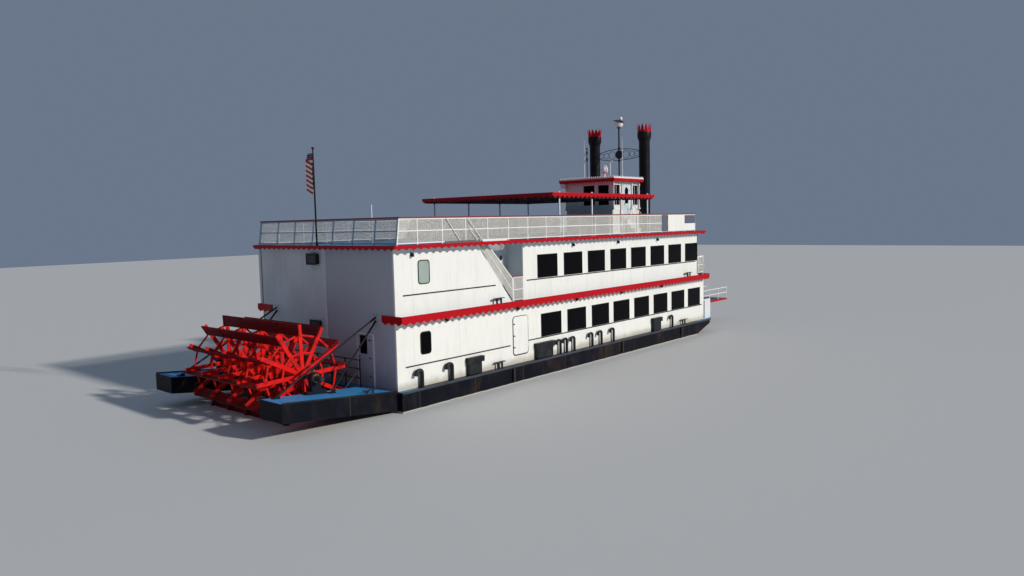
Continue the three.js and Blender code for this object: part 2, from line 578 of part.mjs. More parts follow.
// Tinted glass inside the walls: each strip runs along one side and turns round half of the bow wall,
// and its panes fill the windows.
const GLASS_COLOUR = 0x14171d;
const GLASS_LAP = 60;
const BOW_GLASS_INNER = BOW_WINDOWS[2] - GLASS_LAP;
const PANE_CLEAR = 1;
const PANE_SET_BACK = 10;
function glassStrip(windows, sideSign, houseFore) {
  const face = sideSign * (HOUSE_HALF - WALL - GAP);
  const fore = houseFore - WALL - GAP;
  const bottom = windows.bottom - GLASS_LAP;
  const top = windows.top + GLASS_LAP;
  const low = windows.bottom + PANE_CLEAR;
  const high = windows.top - PANE_CLEAR;
  const sidePanes = windows.left.map((left) => box(left + PANE_CLEAR, left + windows.width - PANE_CLEAR,
    face - sideSign * GLASS / 2, sideSign * (HOUSE_HALF - PANE_SET_BACK), low, high));
  const bowPanes = BOW_WINDOWS.filter((left) => Math.sign(left) === sideSign).map((left) => box(fore - GLASS / 2,
    houseFore - PANE_SET_BACK, left + PANE_CLEAR, left + BOW_WINDOW_WIDTH - PANE_CLEAR, low, high));
  return union([
    box(windows.left[0] - GLASS_LAP, fore, face, face - sideSign * GLASS, bottom, top),
    box(fore - GLASS, fore, face, sideSign * BOW_GLASS_INNER, bottom, top),
    ...sidePanes,
    ...bowPanes,
  ]);
}
add('glass_lower_starboard', glassStrip(LOWER_WINDOWS, -1, LOWER_HOUSE_FORE), GLASS_COLOUR, 0.1, 0);
add('glass_lower_port', glassStrip(LOWER_WINDOWS, 1, LOWER_HOUSE_FORE), GLASS_COLOUR, 0.1, 0);
add('glass_upper_starboard', glassStrip(UPPER_WINDOWS, -1, UPPER_HOUSE_FORE), GLASS_COLOUR, 0.1, 0);
add('glass_upper_port', glassStrip(UPPER_WINDOWS, 1, UPPER_HOUSE_FORE), GLASS_COLOUR, 0.1, 0);

// Roof deck with the stairwell.
const WELL = { aft: stairHead + GAP, fore: FORWARD_CABIN_AFT };
add('roof_deck', box(ROOF_AFT, ROOF_FORE, -GUARD_HALF, ROOF_PORT, ROOF_DECK - SLAB, ROOF_DECK)
  .subtract(box(WELL.aft - GAP, WELL.fore, -HOUSE_HALF + WALL, STAIR_INNER, ROOF_DECK - SLAB - 50, ROOF_DECK + 50)),
0x2f6f9e, 0.6, 0.05);
add('trim_roof_deck', hemBand({
  x0: ROOF_AFT - HEM_THICK - GAP, x1: ROOF_FORE + HEM_THICK + GAP, low: -GUARD_HALF, high: ROOF_PORT,
  top: ROOF_DECK + 35, depth: 100, teeth: 80, aftReturn: 0,
}), TRIM_RED, 0.5, 0.05);

// Roof railings: square posts, three rails, a flat cap and a fine mesh drawn as a thin sheet.
const POST = 22;
const RAIL_LEVELS = [120, 575, 1010];
const RAIL_CAP = { half: 35, thick: 60 };
const RAIL = { starboard: -4745, port: 4400, stern: -80, bow: 22820, lean: 150 };
const RAIL_CORNER = -90;
const RAIL_FIRST = 915;
const RAIL_PITCH = 1285;
const RAIL_SHEET = { thick: 8, low: 100, high: 1060 };
function railRun(postAt, toWorld) {
  const from = postAt[0];
  const to = postAt[postAt.length - 1];
  const parts = postAt.map((u) => toWorld(u - POST, u + POST, -POST, POST, GAP, RAIL_HEIGHT - 10));
  for (const level of RAIL_LEVELS) {
    parts.push(toWorld(from, to, -POST, POST, level - 2 * POST, level));
  }
  parts.push(toWorld(from - POST, to + POST, -RAIL_CAP.half, RAIL_CAP.half, RAIL_HEIGHT - RAIL_CAP.thick, RAIL_HEIGHT));
  parts.push(toWorld(from, to, POST - RAIL_SHEET.thick, POST, RAIL_SHEET.low, RAIL_SHEET.high));
  return union(parts).translate([0, 0, ROOF_DECK]).warp(leanAtStern);
}
// The stern railing and the corner posts beside it lean forward.
function leanAtStern(vertex) {
  if (vertex[0] < 0) vertex[0] += RAIL.lean * (vertex[2] - ROOF_DECK) / RAIL_HEIGHT;
}
const sidePosts = [RAIL_CORNER, ...Array.from({ length: 18 }, (_, i) => RAIL_FIRST + i * RAIL_PITCH)];
for (const [name, y] of [['roof_rail_starboard', RAIL.starboard], ['roof_rail_port', RAIL.port]]) {
  const along = (u0, u1, v0, v1, z0, z1) => box(u0, u1, y + v0, y + v1, z0, z1);
  add(name, railRun(sidePosts, along), 0xe4e6ea, 0.5, 0.1);
}
const sternPosts = [-4685, -3455, -2180, -880, 455, 1735, 2985, 4340];
const bowPosts = Array.from({ length: 8 }, (_, i) => sternPosts[0] + i * (sternPosts[7] - sternPosts[0]) / 7);
const endRails = [
  { name: 'roof_rail_stern', x: RAIL.stern, posts: sternPosts },
  { name: 'roof_rail_bow', x: RAIL.bow, posts: bowPosts },
];
for (const { name, x, posts } of endRails) {
  const across = (u0, u1, v0, v1, z0, z1) => box(x + v0, x + v1, u0, u1, z0, z1);
  add(name, railRun(posts, across), 0xe4e6ea, 0.5, 0.1);
}

// Canopy over the roof deck on eight posts.
const CANOPY = {
  aft: 9500, fore: 18560, starboard: -4480, port: 4200, top: 9190, under: 9060, plate: 60,
  posts: [10210, 12850, 15480, 18110], post: 30, postInset: 155, beam: 120, endClear: 150,
};
const canopyFrame = [];
const canopyLines = [CANOPY.starboard + CANOPY.postInset, CANOPY.port - CANOPY.postInset];
for (const y of canopyLines) {
  for (const x of CANOPY.posts) {
    canopyFrame.push(box(x - CANOPY.post, x + CANOPY.post, y - CANOPY.post, y + CANOPY.post,
      ROOF_DECK + GAP, CANOPY.under - CANOPY.beam / 2));
  }
  canopyFrame.push(box(CANOPY.aft + CANOPY.endClear, CANOPY.fore - CANOPY.endClear, y - 40, y + 40,
    CANOPY.under - CANOPY.beam, CANOPY.under - GAP));
}
for (const x of CANOPY.posts) {
  canopyFrame.push(box(x - 35, x + 35, canopyLines[0], canopyLines[1],
    CANOPY.under - CANOPY.beam, CANOPY.under - GAP));
}
add('canopy_frame', union(canopyFrame), 0xe4e6ea, 0.5, 0.1);
const BAND_LAP = 20;
add('canopy_roof', union([
  box(CANOPY.aft, CANOPY.fore, CANOPY.starboard, CANOPY.port, CANOPY.under, CANOPY.under + CANOPY.plate),
  hemBand({ x0: CANOPY.aft - BAND_LAP, x1: CANOPY.fore + BAND_LAP, low: CANOPY.starboard + BAND_LAP,
    high: CANOPY.port - BAND_LAP, top: CANOPY.top, depth: 150, teeth: 80, aftReturn: 0 }),
]), TRIM_RED, 0.55, 0.05);

// Pilothouse on the roof deck.
const PILOT = { aft: 18830, fore: 21700, half: 1630, wall: 60, eave: 10080, sill: 8730, head: 9880, floor: 7900 };
const pilotInner = PILOT.half - PILOT.wall;
let pilot = box(PILOT.aft, PILOT.fore, -PILOT.half, PILOT.half, ROOF_DECK + GAP, PILOT.eave)
  .subtract(box(PILOT.aft + PILOT.wall, PILOT.fore - PILOT.wall, -pilotInner, pilotInner,
    PILOT.floor, PILOT.eave + 50));
const PILOT_SIDE_WINDOWS = [[18960, 19580], [21000, 21560]];
const PILOT_DOOR = { aft: 19980, fore: 20640, top: 9900 };
for (const [a, b] of PILOT_SIDE_WINDOWS) {
  pilot = pilot.subtract(box(a, b, -2000, 2000, PILOT.sill, PILOT.head));
}
const PILOT_AFT_WINDOWS = [[-1385, -635], [-405, 405]];
const PILOT_FORE_WINDOWS = [[-1480, -670], [-400, 400], [670, 1480]];
for (const [x, windows] of [[PILOT.aft, PILOT_AFT_WINDOWS], [PILOT.fore, PILOT_FORE_WINDOWS]]) {
  for (const [a, b] of windows) {
    pilot = pilot.subtract(box(x - 100, x + 100, a, b, PILOT.sill, PILOT.head));
  }
}
pilot = pilot.subtract(box(PILOT_DOOR.aft, PILOT_DOOR.fore, -2000, -1000, PILOT.floor + 20, PILOT_DOOR.top));
const STEPS = { count: 3, run: 250 };
for (let i = 0; i < STEPS.count; i += 1) {
  const stepOuter = -PILOT.half - STEPS.run * (STEPS.count - i);
  const stepTop = ROOF_DECK + (i + 1) * (PILOT.floor - ROOF_DECK) / STEPS.count;
  pilot = pilot.add(box(PILOT_DOOR.aft, PILOT_DOOR.fore, stepOuter, -PILOT.half + 5, ROOF_DECK + GAP, stepTop));
}
add('pilothouse', pilot, WHITE, 0.55, 0);
const pilotHinge = { x: PILOT_DOOR.fore, y: -PILOT.half - HINGE.stand };
add('pilothouse_door', union([
  box(PILOT_DOOR.aft + leafClear, PILOT_DOOR.fore - leafClear, -PILOT.half - 6,
    -PILOT.half - 6 + 40, PILOT.floor + 20 + leafClear, PILOT_DOOR.top - leafClear),
  ...hingesAlongX(pilotHinge.x, pilotHinge.y, [PILOT.floor + 350, PILOT_DOOR.top - 300]),
]), 0x9a938b, 0.5, 0);
const paneIn = PILOT.wall + GAP;
const pilotGlass = box(PILOT.aft + paneIn, PILOT.fore - paneIn, -PILOT.half + paneIn, PILOT.half - paneIn,
  PILOT.sill - 40, PILOT.head + 40)
  .subtract(box(PILOT.aft + paneIn + 10, PILOT.fore - paneIn - 10, -PILOT.half + paneIn + 10,
    PILOT.half - paneIn - 10, PILOT.sill - 100, PILOT.head + 100))
  .subtract(box(PILOT_DOOR.aft - 120, PILOT_DOOR.fore + 120, -2000, -1000, PILOT.sill - 100, PILOT.head + 100));
add('pilothouse_glass', pilotGlass, GLASS_COLOUR, 0.1, 0);
const PILOT_ROOF = { over: 300, overFore: 20, plate: 140, rim: 170, crest: 130, crestPitch: 300 };
const pilotRoofHalf = PILOT.half + PILOT_ROOF.over;
const pilotRoofBand = {
  x0: PILOT.aft - PILOT_ROOF.over - BAND_LAP, x1: PILOT.fore + PILOT_ROOF.overFore + 30,
  low: -pilotRoofHalf + BAND_LAP, high: pilotRoofHalf - BAND_LAP, aftReturn: 0,
};
add('pilothouse_roof', union([
  box(PILOT.aft - PILOT_ROOF.over, PILOT.fore + PILOT_ROOF.overFore, -pilotRoofHalf, pilotRoofHalf,
    PILOT.eave + GAP, PILOT.eave + PILOT_ROOF.plate),
  hemBand({ ...pilotRoofBand, top: PILOT.eave + PILOT_ROOF.rim, depth: 150, teeth: 70 }),
  hemBand({ ...pilotRoofBand, top: PILOT.eave + PILOT_ROOF.rim - 5, depth: -10, teeth: -PILOT_ROOF.crest,
    toothPitch: PILOT_ROOF.crestPitch }),
]), TRIM_RED, 0.5, 0.05);

// Aerials and the radar dome on one rail across the pilothouse roof.
const AERIALS = { x: 20000, half: 30, starboard: -1620, port: 1180, rail: 40 };
const aerialBase = PILOT.eave + PILOT_ROOF.plate + GAP;
const RODS = [
  { y: -1570, top: 12650, radius: 14 },
  { y: -735, top: 11350, radius: 20 },
  { y: 925, top: 12200, radius: 22 },
  { y: 1125, top: 12680, radius: 14 },
];
const DOME = { y: -325, foot: 10620, mid: 10820, top: 11110, radius: 200, post: 50 };
const T_BAR = { y: -735, half: 165, z: 11320, radius: 20 };
add('pilothouse_aerials', union([
  box(AERIALS.x - AERIALS.half, AERIALS.x + AERIALS.half, AERIALS.starboard, AERIALS.port,
    aerialBase, aerialBase + AERIALS.rail),
  ...RODS.map(({ y, top, radius }) => rod([AERIALS.x, y, aerialBase + 10], [AERIALS.x, y, top], radius, 6)),
  rod([AERIALS.x, T_BAR.y - T_BAR.half, T_BAR.z], [AERIALS.x, T_BAR.y + T_BAR.half, T_BAR.z], T_BAR.radius, 6),
  rod([AERIALS.x, DOME.y, aerialBase + 10], [AERIALS.x, DOME.y, DOME.foot + 20], DOME.post, 8),
  turned([[0, DOME.foot], [DOME.radius - 40, DOME.foot], [DOME.radius, DOME.mid], [DOME.radius - 90, DOME.top - 40],
    [0, DOME.top]], AERIALS.x, DOME.y, 16),
]), 0x2a2d33, 0.5, 0.3);

// Chimneys: a long shaft, a flared bulb and a crown of spikes.
const STACK = { x: 22110, y: 1790, radius: 325, neck: 12560, bulb: 13090, bulbRadius: 415, crown: 13560 };
function stack(sideSign) {
  const y = sideSign * STACK.y;
  const shaft = turned([
    [0, ROOF_DECK + GAP], [STACK.radius + 60, ROOF_DECK + GAP], [STACK.radius + 60, ROOF_DECK + 60],
    [STACK.radius, ROOF_DECK + 60], [STACK.radius, STACK.neck], [STACK.bulbRadius, STACK.neck + 170],
    [STACK.bulbRadius, STACK.bulb - 60], [STACK.radius + 20, STACK.bulb], [STACK.radius - 25, STACK.bulb],
    [STACK.radius - 25, STACK.neck - 400], [0, STACK.neck - 400],
  ], STACK.x, y, 24);
  const spikes = [];
  const count = 12;
  for (let i = 0; i < count; i += 1) {
    const angle = i * 2 * Math.PI / count;
    const lean = 150;
    const geometry = new THREE.CylinderGeometry(8, 85, STACK.crown - STACK.bulb + 40, 4);
    geometry.rotateX(Math.PI / 2);
    geometry.translate(0, 0, (STACK.crown - STACK.bulb) / 2);
    geometry.applyMatrix4(new THREE.Matrix4().makeRotationY(Math.atan2(lean, STACK.crown - STACK.bulb)));
    geometry.translate(STACK.radius - 20, 0, STACK.bulb - 20);
    geometry.rotateZ(angle);
    geometry.translate(STACK.x, y, 0);
    spikes.push(solid(geometry));
  }
  return union([shaft, ...spikes]);
}
add('stack_starboard', stack(-1), 0x17181b, 0.5, 0.2);
add('stack_port', stack(1), 0x17181b, 0.5, 0.2);

// Mast before the pilothouse with the spreader between the chimneys.
const SPREAD = {
  low: 11520, high: 12200, endLow: 11670, endHigh: 11980, half: 1450, bulge: 0.28, bar: 22, disc: 270,
};
const spreadMid = (SPREAD.low + SPREAD.high) / 2;
const mastParts = [
  rod([STACK.x, 0, ROOF_DECK + GAP], [STACK.x, 0, 13500], 50, 12),
  rod([STACK.x - 60, 0, spreadMid], [STACK.x + 60, 0, spreadMid], SPREAD.disc, 24),
  box(STACK.x - 120, STACK.x + 120, -120, 120, ROOF_DECK + GAP, ROOF_DECK + 30),
];
for (const sideSign of [-1, 1]) {
  for (const [mid, end] of [[SPREAD.high, SPREAD.endHigh], [SPREAD.low, SPREAD.endLow]]) {
    const knee = [STACK.x, sideSign * SPREAD.half / 2, (mid + end) / 2 + (mid - end) * SPREAD.bulge];
    mastParts.push(rod([STACK.x, 0, mid], knee, SPREAD.bar, 8));
    mastParts.push(rod(knee, [STACK.x, sideSign * SPREAD.half, end], SPREAD.bar, 8));
  }
}
const RINGS = [
  { y: 500, radius: 245 },
  { y: 930, radius: 200 },
  { y: 1270, radius: 155 },
];
const RING_BAR = { width: 30, half: 12, sides: 12 };
function spreaderRing(y, radius) {
  const disc = (r, reach) =>
    rod([STACK.x - reach, y, spreadMid], [STACK.x + reach, y, spreadMid], r, RING_BAR.sides);
  return disc(radius, RING_BAR.half).subtract(disc(radius - RING_BAR.width, RING_BAR.half + 5));
}
for (const { y, radius } of RINGS) {
  mastParts.push(spreaderRing(y, radius));
  mastParts.push(spreaderRing(-y, radius));
}
add('mast_and_spreader', union(mastParts), 0x1a1f33, 0.5, 0.3);
add('mast_lamp', turned([
  [0, 13500 + GAP], [130, 13500 + GAP], [300, 13640], [380, 13860], [330, 14040], [150, 14140], [0, 14140],
], STACK.x, 0, 20), 0xdfe2e4, 0.3, 0);

// Foredeck bulwark with the stage's hinge stands.
const STAGE = { aft: 25480, fore: 31000, low: -2945, high: -1345, pin: 25420, pinZ: MAIN_DECK + 590 };
const BULWARK = { fore: 25400, plate: 50, top: MAIN_DECK + 1150, sill: MAIN_DECK + 420, post: 90, postHalf: 60 };
const bulwarkBase = MAIN_DECK + GAP;
const bulwark = [
  box(LOWER_HOUSE_FORE + 5, BULWARK.fore, -HOUSE_HALF, -HOUSE_HALF + BULWARK.plate, bulwarkBase, BULWARK.top),
  box(LOWER_HOUSE_FORE + 5, BULWARK.fore, HOUSE_HALF - BULWARK.plate, HOUSE_HALF, bulwarkBase, BULWARK.top),
  box(BULWARK.fore - BULWARK.plate, BULWARK.fore, -HOUSE_HALF, STAGE.low - 160, bulwarkBase, BULWARK.top),
  box(BULWARK.fore - BULWARK.plate, BULWARK.fore, STAGE.high + 160, HOUSE_HALF, bulwarkBase, BULWARK.top),
  box(BULWARK.fore - 60, BULWARK.fore, STAGE.low - 200, STAGE.high + 200, bulwarkBase, BULWARK.sill),
];
for (const y of [STAGE.low - BULWARK.post, STAGE.high + BULWARK.post]) {
  bulwark.push(box(BULWARK.fore - 60, BULWARK.fore + 100, y - BULWARK.postHalf, y + BULWARK.postHalf,
    bulwarkBase, STAGE.pinZ + 70));
}
bulwark.push(rod([STAGE.pin, STAGE.low - 100, STAGE.pinZ], [STAGE.pin, STAGE.high + 100, STAGE.pinZ], 25, 16));
add('foredeck_bulwark', union(bulwark), 0xdfe3e8, 0.5, 0.05);

// Landing stage: a red-edged platform with two-bar rails, hinged on the pin.
const stageParts = [
  box(STAGE.aft, STAGE.fore, STAGE.low, STAGE.high, STAGE.pinZ - 50, STAGE.pinZ + 60),
  rod([STAGE.pin, STAGE.low, STAGE.pinZ], [STAGE.pin, STAGE.high, STAGE.pinZ], 55, 16),
  box(STAGE.pin, STAGE.aft + 50, STAGE.low, STAGE.high, STAGE.pinZ - 45, STAGE.pinZ + 45),
];
const stagePosts = [25980, 27220, 28460, 29700, 30960];
for (const y of [STAGE.low + 40, STAGE.high - 40]) {
  for (const x of stagePosts) {
    stageParts.push(box(x - 25, x + 25, y - 25, y + 25, STAGE.pinZ + 40, STAGE.pinZ + 830));
  }
  for (const z of [STAGE.pinZ + 450, STAGE.pinZ + 800]) {
    stageParts.push(box(stagePosts[0], stagePosts[4], y - 20, y + 20, z - 20, z + 20));
  }
}
add('landing_stage', union(stageParts).subtract(rod([STAGE.pin, STAGE.low - 200, STAGE.pinZ],
  [STAGE.pin, STAGE.high + 200, STAGE.pinZ], 26, 16)), 0xc5161d, 0.5, 0.05);

// Railing round the second deck's open bow end, with a slanting brace down to each side of the bulwark.
const BOW_RAIL = { x: 24430, y: HOUSE_HALF - 25, top: SECOND_DECK + 1150, low: SECOND_DECK + 200, bar: 44 };
const BOW_BRACE = { radius: 16, headDrop: 25, foot: 25345, footDrop: 50 };
const bowRailY = [-BOW_RAIL.y, -2947, -1473, 0, 1473, 2947, BOW_RAIL.y];
const bowRail = [];
for (const y of [-BOW_RAIL.y, BOW_RAIL.y]) {
  bowRail.push(box(UPPER_HOUSE_FORE + 5, BOW_RAIL.x, y - 4, y + 4, BOW_RAIL.low + 10, BOW_RAIL.top - 10));
  for (const z of [BOW_RAIL.low, BOW_RAIL.top - BOW_RAIL.bar]) {
    bowRail.push(box(UPPER_HOUSE_FORE + 5, BOW_RAIL.x, y - POST, y + POST, z, z + BOW_RAIL.bar));
  }
  bowRail.push(rod([BOW_RAIL.x, y, BOW_RAIL.top - BOW_BRACE.headDrop],
    [BOW_BRACE.foot, y, BULWARK.top - BOW_BRACE.footDrop], BOW_BRACE.radius, 6)
    .subtract(box(BOW_RAIL.x, BULWARK.fore + 100, y - 60, y + 60, MAIN_DECK, BULWARK.top + GAP)));
}
for (const y of bowRailY) {
  bowRail.push(box(BOW_RAIL.x - POST, BOW_RAIL.x + POST, y - POST, y + POST, SECOND_DECK + GAP, BOW_RAIL.top));
}
bowRail.push(box(BOW_RAIL.x - 4, BOW_RAIL.x + 4, -BOW_RAIL.y, BOW_RAIL.y, BOW_RAIL.low + 10, BOW_RAIL.top - 10));
for (const z of [BOW_RAIL.low, BOW_RAIL.top - BOW_RAIL.bar]) {
  bowRail.push(box(BOW_RAIL.x - POST, BOW_RAIL.x + POST, -BOW_RAIL.y, BOW_RAIL.y, z, z + BOW_RAIL.bar));
}
add('second_deck_bow_rail', union(bowRail), 0xe4e6ea, 0.5, 0.1);

// Flagstaff and its ensign hanging in folds.
const STAFF = { x: -190, y: -40, top: 10900, radius: 35 };
add('flagstaff', union([
  rod([STAFF.x, STAFF.y, ROOF_DECK + GAP], [STAFF.x, STAFF.y, STAFF.top], STAFF.radius, 12),
  box(STAFF.x - 38, STAFF.x + 75, STAFF.y - 90, STAFF.y + 90, ROOF_DECK + GAP, ROOF_DECK + 25),
  turned([[0, STAFF.top - 10], [60, STAFF.top + 20], [60, STAFF.top + 70], [0, STAFF.top + 110]],
    STAFF.x, STAFF.y, 12),
]), 0x24262a, 0.5, 0.3);
const flagOuter = [[35.3, 0], [130, 90], [220, -60], [310, 70], [380, -20]];
const flagPoints = [
  ...flagOuter.map(([u, v]) => [STAFF.x + v * 0.5 + 8, STAFF.y + u]),
  ...flagOuter.slice().reverse().map(([u, v]) => [STAFF.x + v * 0.5 - 8, STAFF.y + u]),
];
add('ensign', prismXY(flagPoints, 9150, 10800), 0xb3262e, 0.9, 0);

// Deck-edge fittings on a base strip: goosenecks, hooded boxes and cleats.
const GOOSENECKS = [1100, 2700, 9800, 10300, 10900, 12400, 13200, 14300, 20400];
const HOODS = [[3640, 4500], [8040, 9300], [18260, 19150]];
const CLEATS = [[5170, 6020], [21300, 22100]];
const NECK = { radius: 78, sides: 8, rise: 560, crown: 640, reach: 230, mouth: 500 };
function deckFittings(sideSign) {
  const inner = sideSign * (HOUSE_HALF + 8);
  const outer = sideSign * (HULL_HALF - 20);
  const mid = sideSign * (HOUSE_HALF + 125);
  const base = MAIN_DECK + GAP;
  const parts = [box(900, 23400, inner, outer, base, MAIN_DECK + 8)];
  for (const x of GOOSENECKS) {
    parts.push(rod([x, mid, MAIN_DECK + 2], [x, mid, MAIN_DECK + NECK.rise], NECK.radius, NECK.sides));
    parts.push(rod([x + 10, mid, MAIN_DECK + NECK.rise - 20], [x - 110, mid, MAIN_DECK + NECK.crown],
      NECK.radius, NECK.sides));
    parts.push(rod([x - 80, mid, MAIN_DECK + NECK.crown], [x - NECK.reach, mid, MAIN_DECK + NECK.mouth],
      NECK.radius, NECK.sides));
  }
  for (const [a, b] of HOODS) {
    parts.push(box(a, b, inner, sideSign * (HOUSE_HALF + 200), MAIN_DECK + 2, MAIN_DECK + 800));
  }
  for (const [a, b] of CLEATS) {
    parts.push(box(a, b, mid - 40, mid + 40, MAIN_DECK + 130, MAIN_DECK + 190));
    parts.push(box(a + 250, a + 330, mid - 30, mid + 30, MAIN_DECK + 2, MAIN_DECK + 150));
    parts.push(box(b - 330, b - 250, mid - 30, mid + 30, MAIN_DECK + 2, MAIN_DECK + 150));
  }
  return union(parts);
}
add('deck_fittings_starboard', deckFittings(-1), 0x17181b, 0.5, 0.2);
add('deck_fittings_port', deckFittings(1), 0x17181b, 0.5, 0.2);

export default group;
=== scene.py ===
# %% [markdown]
# # A sternwheel paddle boat
#
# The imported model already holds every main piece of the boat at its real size, and knows what moves.
# This lesson gives it its finish: paint, rust and glass, and the fine pieces that are too small for the model.
# We load the model first, because every piece below takes its place from it.

# %% Load the boat
import math

import bmesh
import bpy
from mathutils import Matrix, Vector


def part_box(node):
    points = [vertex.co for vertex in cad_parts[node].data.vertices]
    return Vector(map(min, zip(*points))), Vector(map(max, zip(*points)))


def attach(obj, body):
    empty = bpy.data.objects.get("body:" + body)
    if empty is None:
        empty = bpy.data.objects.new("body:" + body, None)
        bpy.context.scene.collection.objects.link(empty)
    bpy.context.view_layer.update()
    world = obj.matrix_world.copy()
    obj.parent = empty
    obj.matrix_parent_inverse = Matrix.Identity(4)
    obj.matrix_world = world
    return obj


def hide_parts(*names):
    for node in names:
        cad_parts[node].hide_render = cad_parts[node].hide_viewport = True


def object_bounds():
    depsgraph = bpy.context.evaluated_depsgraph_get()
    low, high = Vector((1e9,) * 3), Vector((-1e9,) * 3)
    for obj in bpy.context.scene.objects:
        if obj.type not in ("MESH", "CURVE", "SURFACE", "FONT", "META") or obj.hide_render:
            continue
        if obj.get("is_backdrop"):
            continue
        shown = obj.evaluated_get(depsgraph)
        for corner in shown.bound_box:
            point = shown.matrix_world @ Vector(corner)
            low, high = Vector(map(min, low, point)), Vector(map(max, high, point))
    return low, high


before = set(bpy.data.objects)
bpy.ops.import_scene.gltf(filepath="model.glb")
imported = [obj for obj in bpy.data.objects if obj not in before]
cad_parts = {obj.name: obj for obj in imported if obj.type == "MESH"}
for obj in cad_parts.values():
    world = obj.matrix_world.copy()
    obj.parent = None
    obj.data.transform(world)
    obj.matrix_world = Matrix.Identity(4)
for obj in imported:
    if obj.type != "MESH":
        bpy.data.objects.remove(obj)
cad_low, cad_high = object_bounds()
scene = bpy.context.scene
print(len(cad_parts), "pieces, from", tuple(cad_low), "to", tuple(cad_high))

# %% [markdown]
# ## Boat coordinates
#
# A shipyard measures from the stern wall, from the centreline and from the main deck.
# `at` turns such a place into the model's frame, so that each number below is one that a tape could give.

# %% Levels and widths
STERN_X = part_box("stern_wall")[0].x
DECK_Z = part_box("main_deck")[1].z


def at(x, y, z):
    """The point x forward of the stern wall, y to port of the centreline and z above the main deck."""
    return Vector((STERN_X + x, y, DECK_Z + z))


def boat_x(x):
    return x - STERN_X


def boat_z(z):
    return z - DECK_Z


SECOND = boat_z(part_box("second_deck")[1].z)
ROOF = boat_z(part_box("roof_deck")[1].z)
WALL_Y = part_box("lower_wall_port")[1].y
GUARD_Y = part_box("second_deck")[1].y
LOWER_FORE = boat_x(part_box("lower_wall_port")[1].x)
UPPER_FORE = boat_x(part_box("upper_wall_port")[1].x)
GUARD_FORE = boat_x(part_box("second_deck")[1].x)
ROOF_AFT, ROOF_FORE = (boat_x(corner.x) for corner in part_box("roof_deck"))
ROOF_STARBOARD, ROOF_PORT = (corner.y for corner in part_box("roof_deck"))
WATERLINE = 0.91
RAIL_HEIGHT = 1.07
print("second deck", round(SECOND, 3), "roof deck", round(ROOF, 3), "half width", round(WALL_Y, 3))

# %% [markdown]
# ## The camera
#
# The viewpoint hovers off the starboard quarter, a little above the roof deck.
# A matrix built from three directions is clearer here than Euler angles: where it looks, what is right, what is up.

# %% Camera
CAMERA_PLACE = Vector((-31.227, -25.772, 7.883))
HEADING = math.radians(49.243)
DIP = math.radians(4.975)
ROLL = math.radians(-1.2557)
LENS = 26.72

looking = Vector((math.sin(HEADING) * math.cos(DIP), math.cos(HEADING) * math.cos(DIP), -math.sin(DIP)))
level = Vector((math.cos(HEADING), -math.sin(HEADING), 0))
upright = level.cross(looking)
rightward = level * math.cos(ROLL) + upright * math.sin(ROLL)
upward = upright * math.cos(ROLL) - level * math.sin(ROLL)
camera_data = bpy.data.cameras.new("camera")
camera_data.lens = LENS
camera_data.clip_end = 500
camera = bpy.data.objects.new("camera", camera_data)
turn = Matrix((rightward, upward, -looking)).transposed().to_4x4()
camera.matrix_world = Matrix.Translation(CAMERA_PLACE) @ turn
scene.collection.objects.link(camera)
scene.camera = camera
print("camera at", tuple(CAMERA_PLACE))

# %% [markdown]
# ## Light and floor
#
# One soft key light from starboard brightens the long side and leaves the stern in blue-grey shade.
# A sun lamp fits a boat of this size: an area lamp would have to be as large as the boat to light it evenly.
# The pale floor stands at the waterline, so the hull dips through it as it does through water.

# %% Light and floor
KEY_TOWARDS = Vector((0.30, -1.0, 0.50))
key_data = bpy.data.lights.new("key_light", "SUN")
key_data.energy = 3.05
key_data.angle = math.radians(3.0)
key_data.color = (1.0, 0.965, 0.90)
key_light = bpy.data.objects.new("key_light", key_data)
key_light.rotation_euler = KEY_TOWARDS.to_track_quat("Z", "Y").to_euler()
scene.collection.objects.link(key_light)

world = bpy.data.worlds.new("studio")
scene.world = world
world.use_nodes = True
world.node_tree.nodes["Background"].inputs["Color"].default_value = (0.54, 0.69, 0.95, 1)
world.node_tree.nodes["Background"].inputs["Strength"].default_value = 0.27
scene.view_settings.view_transform = "Standard"

FLOOR_HALF = 150
floor_mesh = bpy.data.meshes.new("floor")
floor_mesh.from_pydata(
    [(x * FLOOR_HALF, y * FLOOR_HALF, WATERLINE) for x, y in ((-1, -1), (1, -1), (1, 1), (-1, 1))],
    [], [(0, 1, 2, 3)])
floor = bpy.data.objects.new("floor", floor_mesh)
scene.collection.objects.link(floor)
floor_material = bpy.data.materials.new("pale_floor")
floor_material.use_nodes = True
floor_shader = floor_material.node_tree.nodes["Principled BSDF"]
floor_shader.inputs["Base Color"].default_value = (0.62, 0.62, 0.61, 1)
floor_shader.inputs["Roughness"].default_value = 0.75
floor_mesh.materials.append(floor_material)
floor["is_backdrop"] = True
print("floor at", WATERLINE)

# %% [markdown]
# ## Small helpers for shader nodes
#
# A material is a tree of nodes. `add_node` makes one node and fills its sockets, with numbers or with wires.
# `new_group` makes a node group: an effect with named inputs that many materials share, such as rain streaks.

# %% Node helpers
def add_node(tree, kind, settings=None, inputs=None):
    made = tree.nodes.new(kind)
    for name, value in (settings or {}).items():
        setattr(made, name, value)
    for name, value in (inputs or {}).items():
        socket = made.inputs[name]
        if isinstance(value, bpy.types.NodeSocket):
            tree.links.new(value, socket)
        else:
            socket.default_value = value
    return made


